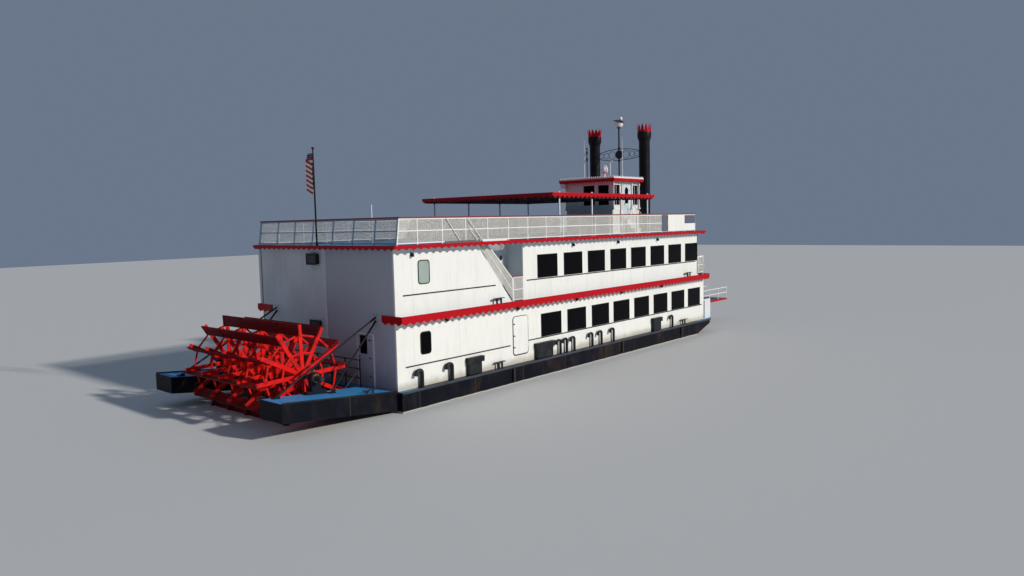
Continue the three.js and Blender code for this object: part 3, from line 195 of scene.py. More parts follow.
def new_group(name, inputs, draw, output="Mask"):
    """A node group with these inputs. draw is given its tree and its inputs, and returns the wire to put out."""
    tree = bpy.data.node_groups.new(name, "ShaderNodeTree")
    for socket_name, value in inputs.items():
        socket = tree.interface.new_socket(socket_name, in_out="INPUT", socket_type="NodeSocketFloat")
        socket.default_value = value
    tree.interface.new_socket(output, in_out="OUTPUT", socket_type="NodeSocketFloat")
    wire = draw(tree, tree.nodes.new("NodeGroupInput").outputs)
    tree.links.new(wire, tree.nodes.new("NodeGroupOutput").inputs[output])
    return tree


def maths(tree, operation, first, second):
    return add_node(tree, "ShaderNodeMath", {"operation": operation}, {0: first, 1: second}).outputs[0]


def scaled_place(tree, x_scale=1.0, y_scale=1.0, z_scale=1.0):
    """The point on the piece, in metres, with each direction stretched by its own scale."""
    place = add_node(tree, "ShaderNodeTexCoord").outputs["Object"]
    scale = add_node(tree, "ShaderNodeCombineXYZ", None, {"X": x_scale, "Y": y_scale, "Z": z_scale})
    return add_node(tree, "ShaderNodeVectorMath", {"operation": "MULTIPLY"},
                    {0: place, 1: scale.outputs[0]}).outputs["Vector"]


def sized_place(tree, size):
    scale = maths(tree, "DIVIDE", 1.0, size)
    return scaled_place(tree, scale, scale, scale)


def split_place(tree, place):
    return add_node(tree, "ShaderNodeSeparateXYZ", None, {0: place}).outputs


def noise(tree, vector, scale=1.0, detail=4.0, roughness=0.6):
    return add_node(tree, "ShaderNodeTexNoise", None,
                    {"Vector": vector, "Scale": scale, "Detail": detail, "Roughness": roughness}).outputs["Fac"]


def between(tree, value, low, high):
    """0 below low, 1 above high, smooth between."""
    return add_node(tree, "ShaderNodeMapRange", {"interpolation_type": "SMOOTHSTEP"},
                    {"Value": value, "From Min": low, "From Max": high}).outputs["Result"]


def below(tree, value, given):
    """1 below the group's Level, 0 above it by the group's Fade."""
    top = maths(tree, "ADD", given["Level"], given["Fade"])
    return maths(tree, "SUBTRACT", 1.0, between(tree, value, given["Level"], top))


print("node helpers ready")

# %% [markdown]
# ## Shared effects
#
# Paint on a boat ages in a few ways that show on every piece: rain draws streaks down it, grime settles in patches,
# chips show the metal, and steel plate is never quite flat. On the wheel the patches are painted shade as well as
# grime, and one more group paints the stern wall's starboard half darker as painted shade. Each is one group with its
# own inputs.

# %% Effect groups
def streaks(tree, given):
    place = scaled_place(tree, given["Width"], given["Width"], maths(tree, "DIVIDE", 1.0, given["Length"]))
    return maths(tree, "MULTIPLY", between(tree, noise(tree, place, 1.0, 5.0, 0.65), 0.48, 0.72), given["Cover"])


def patches(tree, given):
    spots = noise(tree, sized_place(tree, given["Size"]), 1.0, 7.0, 0.62)
    return maths(tree, "MULTIPLY", between(tree, spots, 0.42, 0.70), given["Cover"])


def chips(tree, given):
    edge = maths(tree, "SUBTRACT", 0.78, maths(tree, "MULTIPLY", given["Cover"], 0.25))
    flakes = noise(tree, sized_place(tree, given["Size"]), 1.0, 8.0, 0.72)
    return between(tree, flakes, edge, maths(tree, "ADD", edge, 0.03))


def band(tree, given):
    place = scaled_place(tree)
    wander = maths(tree, "SUBTRACT", noise(tree, place, 1.3, 5.0, 0.6), 0.5)
    ragged = maths(tree, "MULTIPLY", wander, given["Ragged"])
    return below(tree, maths(tree, "ADD", split_place(tree, place)["Z"], ragged), given)


# A mask for painted shade: 1 on the starboard side, where Y is below the Level.
def half(tree, given):
    return below(tree, split_place(tree, scaled_place(tree))["Y"], given)


def seams(tree, given):
    place = split_place(tree, scaled_place(tree))
    along = maths(tree, "MULTIPLY", place["X"], maths(tree, "SUBTRACT", 1.0, given["Across"]))
    run = maths(tree, "ADD", along, maths(tree, "MULTIPLY", place["Y"], given["Across"]))
    wave = maths(tree, "PINGPONG", run, maths(tree, "MULTIPLY", given["Pitch"], 0.5))
    return maths(tree, "SUBTRACT", 1.0, between(tree, wave, 0.0, given["Width"]))


def waves(tree, given):
    broad = noise(tree, sized_place(tree, given["Size"]), 1.0, 2.0, 0.4)
    fine = noise(tree, scaled_place(tree, 30.0, 30.0, 30.0), 1.0, 4.0, 0.6)
    return maths(tree, "ADD", maths(tree, "MULTIPLY", broad, given["Swell"]),
                 maths(tree, "MULTIPLY", fine, given["Grain"]))


def grain(tree, given):
    slow = maths(tree, "SUBTRACT", given["Fineness"], maths(tree, "MULTIPLY", given["Along_Y"], 38.0))
    place = scaled_place(tree, given["Fineness"], slow, given["Fineness"])
    return between(tree, noise(tree, place, 1.0, 4.0, 0.55), 0.35, 0.7)


EFFECTS = {group.name: group for group in (
    new_group("rain_streaks", {"Width": 5.0, "Length": 2.5, "Cover": 0.5}, streaks),
    new_group("grime_and_shade_patches", {"Size": 1.0, "Cover": 0.5}, patches),
    new_group("paint_chips", {"Size": 0.15, "Cover": 0.4}, chips),
    new_group("height_band", {"Level": 0.0, "Fade": 0.2, "Ragged": 0.1}, band),
    new_group("painted_shade_starboard_half", {"Level": 0.0, "Fade": 0.05}, half),
    new_group("plate_seams", {"Pitch": 2.4, "Width": 0.02, "Across": 0.0}, seams),
    new_group("plate_waves", {"Size": 1.2, "Swell": 1.0, "Grain": 0.15}, waves, "Height"),
    new_group("wood_grain", {"Along_Y": 1.0, "Fineness": 40.0}, grain))}
print("effects:", ", ".join(EFFECTS))

# %% [markdown]
# ## Paint in layers
#
# A painted surface starts as one colour. Each layer then mixes in another colour and gloss where its effect says,
# in the order in which the weather laid them down. The shader itself stays in the material.
# A layer is a row: the effect, its inputs in the order of the list above, its colour and its roughness.
# The last row of each paint gives the size, swell and grain of the waves that its plates have.

# %% Layered paint
PAINTS = {}
MIX_SOCKETS = {"RGBA": (6, 7, 2), "FLOAT": (2, 3, 0)}


def effect(tree, name, values):
    made = tree.nodes.new("ShaderNodeGroup")
    made.node_tree = EFFECTS[name]
    for socket, value in zip(made.inputs, values):
        socket.default_value = value
    return made.outputs[0]


def blend(tree, kind, mask, under, over):
    """The value or wire under, with over laid on it where the mask is 1. The kind is a colour or a number."""
    first, second, out = MIX_SOCKETS[kind]
    return add_node(tree, "ShaderNodeMix", {"data_type": kind}, {0: mask, first: under, second: over}).outputs[out]


def layered(name, colour, roughness, layers, waves, bump=0.25, metallic=0.0, coat=0.0, specular=0.25):
    """Paint of one colour under layers of (effect, its inputs, colour, roughness). It goes into PAINTS."""
    made = PAINTS[name] = bpy.data.materials.new(name)
    made.use_nodes = True
    tree = made.node_tree
    shader = tree.nodes["Principled BSDF"]
    shader.inputs["Metallic"].default_value = metallic
    shader.inputs["Coat Weight"].default_value = coat
    shader.inputs["Specular IOR Level"].default_value = specular
    shade, gloss = (*colour, 1.0), roughness
    for effect_name, values, layer_colour, layer_roughness in layers:
        mask = effect(tree, effect_name, values)
        shade = blend(tree, "RGBA", mask, shade, (*layer_colour, 1.0))
        gloss = blend(tree, "FLOAT", mask, gloss, layer_roughness)
    tree.links.new(shade, shader.inputs["Base Color"])
    tree.links.new(gloss, shader.inputs["Roughness"])
    dents = add_node(tree, "ShaderNodeBump", None,
                     {"Height": effect(tree, "plate_waves", waves), "Strength": bump, "Distance": 0.02})
    tree.links.new(dents.outputs["Normal"], shader.inputs["Normal"])


BROWN_RUST = (0.20, 0.085, 0.035)
print("layered paint ready")

# %% [markdown]
# ## White paint
#
# The house is steel plate in warm white gloss that the weather has dulled. The stern wall is streaked and darker
# towards the bottom, and its white is painted greyer and bluer as painted shade, its starboard half darker still as
# painted shade.
# The railings and the inner walls have their own, simpler whites.

# %% White paints
PATCHES_LIGHT = ("grime_and_shade_patches", (1.6, 0.16), (0.62, 0.61, 0.55), 0.66)
layered("house_white", (0.83, 0.83, 0.79), 0.42, [
    PATCHES_LIGHT,
    ("rain_streaks", (3.2, 2.2, 0.24), (0.60, 0.60, 0.56), 0.62),
    ("rain_streaks", (9.0, 1.1, 0.14), (0.47, 0.42, 0.34), 0.7),
    ("plate_seams", (2.44, 0.012, 0.0), (0.60, 0.60, 0.57), 0.6),
    ("height_band", (1.72, 0.35, 0.5), (0.52, 0.49, 0.42), 0.75),
    ("paint_chips", (0.10, 0.20), (0.38, 0.22, 0.12), 0.8),
], (1.1, 1.0, 0.03), bump=0.22)
# The stern wall's white: greyer and bluer than the house white as painted shade, with a painted-shade layer on its
# starboard half.
layered("stern_white_painted_shade", (0.66, 0.68, 0.70), 0.5, [
    ("painted_shade_starboard_half", (-0.32, 0.05), (0.44, 0.46, 0.51), 0.6),
    ("grime_and_shade_patches", (2.1, 0.45), (0.48, 0.49, 0.50), 0.7),
    ("rain_streaks", (1.2, 6.0, 0.30), (0.50, 0.51, 0.53), 0.68),
    ("rain_streaks", (7.0, 3.0, 0.12), (0.38, 0.38, 0.39), 0.75),
    ("plate_seams", (2.44, 0.008, 1.0), (0.48, 0.48, 0.50), 0.7),
    ("height_band", (1.9, 1.2, 1.3), (0.34, 0.33, 0.33), 0.8),
    ("paint_chips", (0.12, 0.30), BROWN_RUST, 0.85),
], (1.3, 1.0, 0.04), bump=0.3)
layered("rail_white", (0.80, 0.80, 0.80), 0.36, [
    ("grime_and_shade_patches", (0.5, 0.22), (0.58, 0.58, 0.56), 0.55),
    ("paint_chips", (0.05, 0.34), (0.36, 0.24, 0.15), 0.8),
], (0.3, 0.3, 0.05), bump=0.12)
layered("inner_grey", (0.62, 0.68, 0.70), 0.5, [
    ("grime_and_shade_patches", (0.9, 0.35), (0.44, 0.48, 0.50), 0.65),
    ("rain_streaks", (6.0, 1.4, 0.25), (0.36, 0.40, 0.42), 0.7),
], (0.8, 0.7, 0.05), bump=0.2)
layered("mesh_white", (0.78, 0.75, 0.68), 0.5, [
    ("grime_and_shade_patches", (0.7, 0.35), (0.48, 0.47, 0.44), 0.65),
], (0.3, 0.2, 0.05), bump=0.1)
layered("mesh_shaded", (0.34, 0.40, 0.47), 0.5, [
    ("grime_and_shade_patches", (0.7, 0.35), (0.24, 0.28, 0.33), 0.65),
], (0.3, 0.2, 0.05), bump=0.1)
layered("gate_grey", (0.105, 0.120, 0.170), 0.5, [
    ("grime_and_shade_patches", (0.4, 0.4), (0.075, 0.085, 0.11), 0.65),
    ("paint_chips", (0.06, 0.3), (0.30, 0.30, 0.30), 0.8),
], (0.3, 0.3, 0.05), bump=0.12)
# The canopy frame: dark above 8.90 m, where the beams lie under the roof, as painted shade; white below, on the posts.
layered("canopy_shade_paint", (0.050, 0.014, 0.020), 0.5, [
    ("height_band", (8.90, 0.02, 0.0), (0.80, 0.80, 0.80), 0.36),
    ("grime_and_shade_patches", (0.5, 0.20), (0.30, 0.29, 0.29), 0.55),
], (0.3, 0.3, 0.05), bump=0.12)
layered("bulwark_white", (0.70, 0.73, 0.76), 0.42, [
    PATCHES_LIGHT,
    ("rain_streaks", (7.0, 0.8, 0.25), (0.47, 0.45, 0.42), 0.7),
    ("paint_chips", (0.08, 0.3), (0.38, 0.22, 0.12), 0.8),
], (0.6, 0.7, 0.03), bump=0.2)
# The stern railing's white, painted blue-grey as painted shade.
layered("stern_rail_painted_shade", (0.20, 0.30, 0.42), 0.45, [
    ("grime_and_shade_patches", (0.5, 0.3), (0.15, 0.22, 0.30), 0.6),
    ("paint_chips", (0.05, 0.3), (0.60, 0.60, 0.58), 0.7),
], (0.3, 0.3, 0.05), bump=0.12)
print("white paints made")

# %% [markdown]
# ## Red, black and blue paint
#
# The trims and the wheel are fire red; the wheel's dark patches are grime and painted shade. The wheel's boards are
# timber in a darker red, so they get wood grain under the paint. The hull is black with rust at its seams and a pale
# line where the water stood.

# %% Red paints
layered("trim_red", (0.47, 0.0025, 0.009), 0.42, [
    ("grime_and_shade_patches", (0.7, 0.35), (0.30, 0.008, 0.012), 0.5),
    ("rain_streaks", (8.0, 0.4, 0.30), (0.20, 0.012, 0.012), 0.55),
    ("paint_chips", (0.05, 0.25), (0.50, 0.32, 0.29), 0.8),
], (0.5, 0.4, 0.05), bump=0.15, specular=0.12)
# On the wheel the dark patches are grime and painted shade: the mottled shadow inside the wheel.
layered("wheel_red", (0.76, 0.006, 0.003), 0.38, [
    ("grime_and_shade_patches", (0.26, 0.85), (0.20, 0.003, 0.004), 0.5),
    ("height_band", (1.25, 0.9, 1.0), (0.16, 0.006, 0.006), 0.4),
    ("paint_chips", (0.055, 0.42), (0.16, 0.06, 0.03), 0.85),
], (0.25, 0.5, 0.12), bump=0.25)
layered("board_red", (0.20, 0.004, 0.006), 0.45, [
    ("wood_grain", (1.0, 42.0), (0.12, 0.003, 0.005), 0.55),
    ("grime_and_shade_patches", (0.6, 0.6), (0.075, 0.003, 0.005), 0.4),
    ("paint_chips", (0.07, 0.35), (0.14, 0.07, 0.05), 0.8),
], (0.12, 0.6, 0.30), bump=0.4, specular=0.10)
layered("cap_maroon", (0.22, 0.040, 0.036), 0.45, [
    ("grime_and_shade_patches", (0.5, 0.4), (0.15, 0.060, 0.050), 0.6),
    ("paint_chips", (0.06, 0.3), (0.40, 0.30, 0.26), 0.8),
], (0.3, 0.2, 0.08), bump=0.15)
print("red paints made")

# %% Black paints
layered("hull_black", (0.004, 0.005, 0.010), 0.46, [
    ("grime_and_shade_patches", (1.8, 0.55), (0.010, 0.011, 0.016), 0.55),
    ("rain_streaks", (2.2, 1.4, 0.40), (0.028, 0.027, 0.026), 0.65),
    ("rain_streaks", (0.8, 2.0, 0.40), (0.085, 0.042, 0.022), 0.8),
    ("plate_seams", (3.05, 0.030, 0.0), (0.045, 0.036, 0.032), 0.7),
    ("paint_chips", (0.30, 0.25), (0.15, 0.075, 0.038), 0.85),
    ("height_band", (0.955, 0.03, 0.05), (0.42, 0.41, 0.37), 0.75),
    ("height_band", (0.90, 0.03, 0.04), (0.030, 0.034, 0.024), 0.7),
], (0.9, 1.4, 0.12), bump=0.4, specular=0.08)
layered("fitting_black", (0.008, 0.009, 0.012), 0.42, [
    ("grime_and_shade_patches", (0.35, 0.4), (0.045, 0.045, 0.045), 0.6),
    ("paint_chips", (0.06, 0.35), BROWN_RUST, 0.85),
], (0.2, 0.3, 0.12), bump=0.2)
layered("stay_black", (0.006, 0.008, 0.016), 0.45, [
    ("grime_and_shade_patches", (0.4, 0.3), (0.020, 0.020, 0.024), 0.6),
    ("paint_chips", (0.06, 0.2), BROWN_RUST, 0.85),
], (0.3, 0.2, 0.08), bump=0.15, specular=0.15)
layered("stack_black", (0.006, 0.006, 0.009), 0.38, [
    ("rain_streaks", (4.5, 2.6, 0.4), (0.020, 0.021, 0.027), 0.5),
    ("grime_and_shade_patches", (0.8, 0.35), (0.028, 0.028, 0.030), 0.6),
    ("paint_chips", (0.08, 0.22), BROWN_RUST, 0.85),
], (0.6, 0.5, 0.06), bump=0.2, specular=0.15)
layered("steel_dark", (0.060, 0.060, 0.066), 0.42, [
    ("grime_and_shade_patches", (0.25, 0.6), (0.030, 0.028, 0.026), 0.6),
    ("paint_chips", (0.08, 0.5), BROWN_RUST, 0.85),
], (0.2, 0.3, 0.15), bump=0.25, metallic=0.6)
layered("navy_iron", (0.018, 0.022, 0.055), 0.38, [
    ("grime_and_shade_patches", (0.3, 0.3), (0.035, 0.035, 0.045), 0.6),
], (0.2, 0.2, 0.08), bump=0.15)
layered("rubber_black", (0.014, 0.014, 0.015), 0.62, [
    ("grime_and_shade_patches", (0.3, 0.5), (0.040, 0.040, 0.040), 0.75),
], (0.1, 0.2, 0.1), bump=0.15)
print("black paints made")

# %% Blue and grey paints
layered("deck_blue", (0.035, 0.20, 0.40), 0.5, [
    ("grime_and_shade_patches", (1.2, 0.5), (0.11, 0.22, 0.30), 0.65),
    ("rain_streaks", (1.2, 1.0, 0.35), (0.16, 0.21, 0.24), 0.7),
    ("paint_chips", (0.14, 0.5), (0.15, 0.10, 0.07), 0.85),
], (0.5, 0.4, 0.25), bump=0.25)
layered("wing_blue", (0.040, 0.27, 0.58), 0.5, [
    ("grime_and_shade_patches", (0.9, 0.45), (0.05, 0.17, 0.34), 0.6),
    ("paint_chips", (0.12, 0.5), (0.13, 0.10, 0.08), 0.85),
], (0.6, 0.6, 0.2), bump=0.3)
layered("edge_grey", (0.050, 0.056, 0.070), 0.55, [
    ("grime_and_shade_patches", (0.6, 0.6), (0.028, 0.028, 0.032), 0.7),
    ("paint_chips", (0.12, 0.55), BROWN_RUST, 0.85),
], (0.5, 0.6, 0.2), bump=0.3)
layered("grating_grey", (0.15, 0.16, 0.17), 0.55, [
    ("grime_and_shade_patches", (0.4, 0.6), (0.08, 0.075, 0.07), 0.7),
], (0.2, 0.3, 0.2), bump=0.25, metallic=0.4)
layered("sage_pane", (0.33, 0.40, 0.37), 0.16, [
    ("rain_streaks", (8.0, 0.8, 0.4), (0.24, 0.29, 0.27), 0.3),
], (0.6, 0.3, 0.0), bump=0.05)
layered("bronze", (0.45, 0.28, 0.08), 0.35, [
    ("grime_and_shade_patches", (0.1, 0.5), (0.12, 0.08, 0.04), 0.6),
], (0.1, 0.2, 0.1), bump=0.1, metallic=0.9)
layered("lamp_white", (0.88, 0.89, 0.89), 0.12, [
    ("grime_and_shade_patches", (0.25, 0.2), (0.66, 0.66, 0.64), 0.3),
], (0.3, 0.1, 0.0), bump=0.03, coat=0.5)
print("blue, grey and small finishes made")

# %% [markdown]
# ## Cloth
#
# The ensign's stripes, canton and dots come from the cloth's own coordinates, which run from 0 to 1 along the fly
# and up the hoist. Each is a mask that is worked out from them, so no picture is needed.

# %% Ensign cloth
STRIPES = 13
CANTON_FLY, CANTON_FOOT = 0.40, 6 / 13
DOT_COUNTS = (("X", 27.5), ("Y", 17.0))
DOT_SIZE = 0.04
CLOTH_WHITE, CLOTH_RED, CLOTH_BLUE = (0.78, 0.76, 0.73, 1.0), (0.45, 0.012, 0.022, 1.0), (0.014, 0.024, 0.10, 1.0)
cloth = PAINTS["cloth"] = bpy.data.materials.new("cloth")
cloth.use_nodes = True
tree = cloth.node_tree
spots = split_place(tree, add_node(tree, "ShaderNodeUVMap", {"uv_map": "cloth"}).outputs["UV"])
white_row = maths(tree, "MODULO", maths(tree, "FLOOR", maths(tree, "MULTIPLY", spots["Y"], STRIPES), 0.0), 2.0)
in_canton = maths(tree, "MULTIPLY", maths(tree, "LESS_THAN", spots["X"], CANTON_FLY),
                  maths(tree, "GREATER_THAN", spots["Y"], CANTON_FOOT))
offsets = [maths(tree, "SUBTRACT", maths(tree, "PINGPONG", maths(tree, "MULTIPLY", spots[axis], count), 1.0), 0.5)
           for axis, count in DOT_COUNTS]
dot_far = maths(tree, "ADD", *(maths(tree, "MULTIPLY", offset, offset) for offset in offsets))
dots = maths(tree, "MULTIPLY", maths(tree, "LESS_THAN", dot_far, DOT_SIZE), in_canton)
shade = CLOTH_RED
for mask, colour in ((white_row, CLOTH_WHITE), (in_canton, CLOTH_BLUE), (dots, CLOTH_WHITE)):
    shade = blend(tree, "RGBA", mask, shade, colour)
shader = tree.nodes["Principled BSDF"]
tree.links.new(shade, shader.inputs["Base Color"])
shader.inputs["Roughness"].default_value = 0.9
shader.inputs["Specular IOR Level"].default_value = 0.1
shader.inputs["Sheen Weight"].default_value = 0.3
weave = add_node(tree, "ShaderNodeBump", None,
                 {"Height": effect(tree, "plate_waves", (0.05, 0.5, 0.5)), "Strength": 0.3, "Distance": 0.005})
tree.links.new(weave.outputs["Normal"], shader.inputs["Normal"])
print("cloth made")

# %% [markdown]
# ## Tinted glass
#
# The cabin windows are so dark that they read as black by day, but a little light still goes through them.
# Real transmission would cost much noise for nothing, so the pane is a dark gloss with a slightly open alpha.

# %% Glass
PANE_BLACK = (0.002, 0.002, 0.003)
PANE_STREAK = tuple(c * 1.8 + 0.002 for c in PANE_BLACK)
PANE_GRIME = tuple(c * 1.5 + 0.001 for c in PANE_BLACK)
layered("tinted_glass", PANE_BLACK, 0.10, [
    ("rain_streaks", (6.0, 0.8, 0.35), PANE_STREAK, 0.14),
    ("grime_and_shade_patches", (0.5, 0.25), PANE_GRIME, 0.18),
], (0.9, 0.5, 0.0), bump=0.05, specular=0.05)
PAINTS["tinted_glass"].node_tree.nodes["Principled BSDF"].inputs["Alpha"].default_value = 0.98
print("glass made")

# %% [markdown]
# ## Finishes on the model's own pieces
#
# Most of the model's pieces already have their final shape. They only need their paint.
# The walls are flat plates with sharp edges in life too, so nothing is added to their outline here.

# %% Paint the model's pieces
PAINTED = {
    "house_white": ["lower_wall_starboard", "lower_wall_port", "lower_wall_bow", "upper_wall_starboard_aft",
                    "upper_wall_starboard", "upper_wall_port", "upper_wall_bow", "side_door", "bow_door",
                    "pilothouse"],
    "bulwark_white": ["foredeck_bulwark"],
    # The stern wall and its door get the white with painted shade.
    "stern_white_painted_shade": ["stern_wall", "stern_door"],
    "inner_grey": ["stair_walls", "pilothouse_door"],
    "grating_grey": ["stair"],
    "hull_black": ["hull", "wing_starboard", "wing_port"],
    "deck_blue": ["main_deck", "second_deck", "roof_deck"],
    "trim_red": ["trim_second_deck", "trim_roof_deck", "canopy_roof", "pilothouse_roof", "landing_stage"],
    "wheel_red": ["wheel_frames"],
    "board_red": ["wheel_boards"],
    "steel_dark": ["wheel_shaft", "rudder_starboard", "rudder_port", "rudder_beam", "pilothouse_aerials"],
    "stay_black": ["bearing_starboard", "bearing_port", "stay_starboard", "stay_port"],
    "fitting_black": ["walkway_rail", "deck_fittings_starboard", "deck_fittings_port", "flagstaff"],
    "stack_black": ["stack_starboard", "stack_port"],
    "navy_iron": ["mast_and_spreader"],
    "lamp_white": ["mast_lamp"],
    "canopy_shade_paint": ["canopy_frame"],
    "rail_white": ["roof_rail_starboard", "roof_rail_port", "roof_rail_stern", "roof_rail_bow",
                   "second_deck_bow_rail", "stair_railing"],
    "tinted_glass": ["glass_lower_starboard", "glass_lower_port", "glass_upper_starboard", "glass_upper_port",
                     "pilothouse_glass"],
}
for paint, node_names in PAINTED.items():
    for node_name in node_names:
        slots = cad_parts[node_name].data.materials
        slots.clear()
        slots.append(PAINTS[paint])
print("painted", sum(len(names) for names in PAINTED.values()), "pieces")

# %% [markdown]
# ## Helpers for making pieces
#
# Every fine piece is drawn into a bmesh, Blender's editable mesh, from a few shapes: a box, a round bar along a path,
# a turned body, and a flat outline given a thickness. All but the box are rings of corners with a skin between them.
# `piece` then sets its normals, smooths it, paints it and mounts it on its body.

# %% Shape helpers
def corners(mesh, points):
    return [mesh.verts.new(point) for point in points]


def spun(mesh, middle, side, across, radius, turns):
    """A ring of corners at these angles round a middle. side and across say how it lies."""
    return corners(mesh, [middle + (side * math.cos(t) + across * math.sin(t)) * radius for t in turns])


def skin(mesh, rings, closed=False):
    """Quads between rings of corners. The last ring joins the first if closed, or else both ends get a face."""
    for near, far in zip(rings, rings[1:] + rings[:1] if closed else rings[1:]):
        for j in range(len(near)):
            k = (j + 1) % len(near)
            mesh.faces.new((near[j], near[k], far[k], far[j]))
    if not closed:
        mesh.faces.new(rings[0][::-1])
        mesh.faces.new(rings[-1])


def box(mesh, low, high):
    """A box between two corners."""
    middle = (Vector(low) + Vector(high)) / 2
    size = Vector(high) - Vector(low)
    stretch = Matrix.Diagonal((*map(abs, size), 1))
    bmesh.ops.create_cube(mesh, size=1, matrix=Matrix.Translation(middle) @ stretch)


def tube(mesh, path, radius, sides=8):
    """A round bar along a path of points. The radius may be one number or one for each point."""
    radii = radius if isinstance(radius, (list, tuple)) else [radius] * len(path)
    side = (path[1] - path[0]).orthogonal().normalized()
    turns = [2 * math.pi * (j + 0.5) / sides for j in range(sides)]
    rings = []
    for i, point in enumerate(path):
        along = (path[min(i + 1, len(path) - 1)] - path[max(i - 1, 0)]).normalized()
        side = (side - along * side.dot(along)).normalized()
        across = along.cross(side)
        rings.append(spun(mesh, point, side, across, radii[i], turns))
    skin(mesh, rings)


def bend(points, radius, steps=5):
    """A path through the points with each inner corner rounded."""
    path = [points[0]]
    for before, corner, after in zip(points, points[1:], points[2:]):
        start = corner + (before - corner).normalized() * radius
        end = corner + (after - corner).normalized() * radius
        for i in range(steps + 1):
            t = i / steps
            path.append(start * (1 - t) ** 2 + corner * 2 * t * (1 - t) + end * t ** 2)
    return path + [points[-1]]


def turned(mesh, profile, centre, axis=(0, 0, 1), sides=32):
    """A turned body: (radius, height) pairs spun about an axis through the centre. It closes at both ends."""
    axis = Vector(axis).normalized()
    side = axis.orthogonal().normalized()
    across = axis.cross(side)
    turns = [2 * math.pi * j / sides for j in range(sides)]
    rings = []
    for radius, height in profile:
        middle = centre + axis * height
        rings.append(spun(mesh, middle, side, across, radius, turns) if radius else corners(mesh, [middle]))
    for near, far in zip(rings, rings[1:]):
        for j in range(sides):
            k = j + 1
            ends = near[j % len(near)], near[k % len(near)], far[k % len(far)], far[j % len(far)]
            distinct = list(dict.fromkeys(ends))
            if len(distinct) > 2:
                mesh.faces.new(distinct)
    for ring in (rings[0], rings[-1]):
        if len(ring) > 2:
            mesh.faces.new(ring)


def plate(mesh, outline, thickness):
    """A flat outline of points, given a thickness along a vector."""
    skin(mesh, [corners(mesh, outline), corners(mesh, [point + Vector(thickness) for point in outline])])


def ring_plate(mesh, outer, inner, thickness):
    """A flat ring between two outlines that have the same number of points."""
    shift = Vector(thickness)
    outlines = (outer, inner, [p + shift for p in inner], [p + shift for p in outer])
    skin(mesh, [corners(mesh, outline) for outline in outlines], closed=True)


SHARP_ANGLE = math.radians(38)


def piece(name, mesh, paint, slot="", body="boat", bevel=0.0, stands_for=()):
    """Turns the mesh into a named piece that moves with its body."""
    bmesh.ops.recalc_face_normals(mesh, faces=mesh.faces)
    for face in mesh.faces:
        face.smooth = True
    for edge in mesh.edges:
        edge.smooth = edge.calc_face_angle(0.0) < SHARP_ANGLE
    data = bpy.data.meshes.new(name)
    mesh.to_mesh(data)
    mesh.free()
    data.materials.append(PAINTS[paint])
    made = bpy.data.objects.new(name, data)
    scene.collection.objects.link(made)
    if bevel:
        rounding = made.modifiers.new("rounded_edges", "BEVEL")
        rounding.width = bevel
        rounding.segments = 2
        rounding.angle_limit = SHARP_ANGLE
        rounding.harden_normals = True
    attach(made, body)
    slot or paint
    if stands_for:
        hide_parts(*stands_for)
    print(f"{name}: {len(data.polygons)} faces on {body}")
    return made


SIDES = {"starboard": -1, "port": 1}
print("shape helpers ready")

# %% [markdown]
# ## Scalloped trims
#
# A red sheet-metal hem hangs from each deck edge and from the roofs. Its lower edge is cut into pointed scallops,
# and a half-round bead stiffens its top. The hem is built as one strip of quads that runs right round, so that
# each scallop is a few columns of the strip and no long, thin triangles appear.

# %% Scallop helper
SCALLOP = 0.36
HEM_THICK = 0.038
BEAD_INSET, BEAD_RADIUS = 0.017, 0.018
SCALLOP_SHAPE = [0.0, 0.10, 0.42, 0.80, 1.0, 0.80, 0.42, 0.10]


def hem_strip(mesh, start, end, outward, top, depth, teeth, pitch):
    """One straight run of hem between two points in plan, hanging from the height top."""
    start, end, outward = Vector((*start, 0)), Vector((*end, 0)), Vector((*outward, 0))
    steps = len(SCALLOP_SHAPE) * max(1, round((end - start).length / pitch))
    columns = []
    for i in range(steps + 1):
        drop = depth + teeth * SCALLOP_SHAPE[i % len(SCALLOP_SHAPE)]
        place = start.lerp(end, i / steps)
        face = place + outward * HEM_THICK
        columns.append(corners(mesh, [at(p.x, p.y, z) for p, z in (
            (place, top), (face, top), (face, top - drop), (place, top - drop))]))
    skin(mesh, columns)
    bead = [p + outward * (HEM_THICK - BEAD_INSET) for p in (start, end)]
    tube(mesh, [at(p.x, p.y, top - BEAD_RADIUS) for p in bead], BEAD_RADIUS, 10)


def hem_round(mesh, aft, fore, starboard, port, top, depth, teeth, stern_part=None, pitch=SCALLOP):
    """Hem on all four sides of a deck. With stern_part only that much returns along the stern from each side."""
    low, high = starboard - HEM_THICK, port + HEM_THICK
    runs = [((aft, starboard), (fore, starboard), (0, -1)), ((aft, port), (fore, port), (0, 1)),
            ((fore, low), (fore, high), (1, 0))]
    if stern_part is None:
        runs.append(((aft, low), (aft, high), (-1, 0)))
    else:
        runs += [((aft, low), (aft, low + stern_part), (-1, 0)),
                 ((aft, high), (aft, high - stern_part), (-1, 0))]
    for start, end, outward in runs:
        hem_strip(mesh, start, end, outward, top, depth, teeth, pitch)


print("scallop", SCALLOP, "m long")

# %% Deck trims
STERN_RETURN = 1.14
mesh = bmesh.new()
hem_round(mesh, -0.005, GUARD_FORE, -GUARD_Y, GUARD_Y, SECOND + 0.09, 0.25, 0.088, STERN_RETURN)
piece("second_deck_hem", mesh, "trim_red", stands_for=["trim_second_deck"])
mesh = bmesh.new()
hem_round(mesh, ROOF_AFT, ROOF_FORE, ROOF_STARBOARD, ROOF_PORT, ROOF + 0.035, 0.10, 0.083)
piece("roof_deck_hem", mesh, "trim_red", stands_for=["trim_roof_deck"])

# %% [markdown]
# ## Canopy
#
# The canopy is a flat red roof with the same hem, on eight white posts. Its top has low ribs across it, where the
# sheets are joined. The posts stand just inside the railing, on square feet.

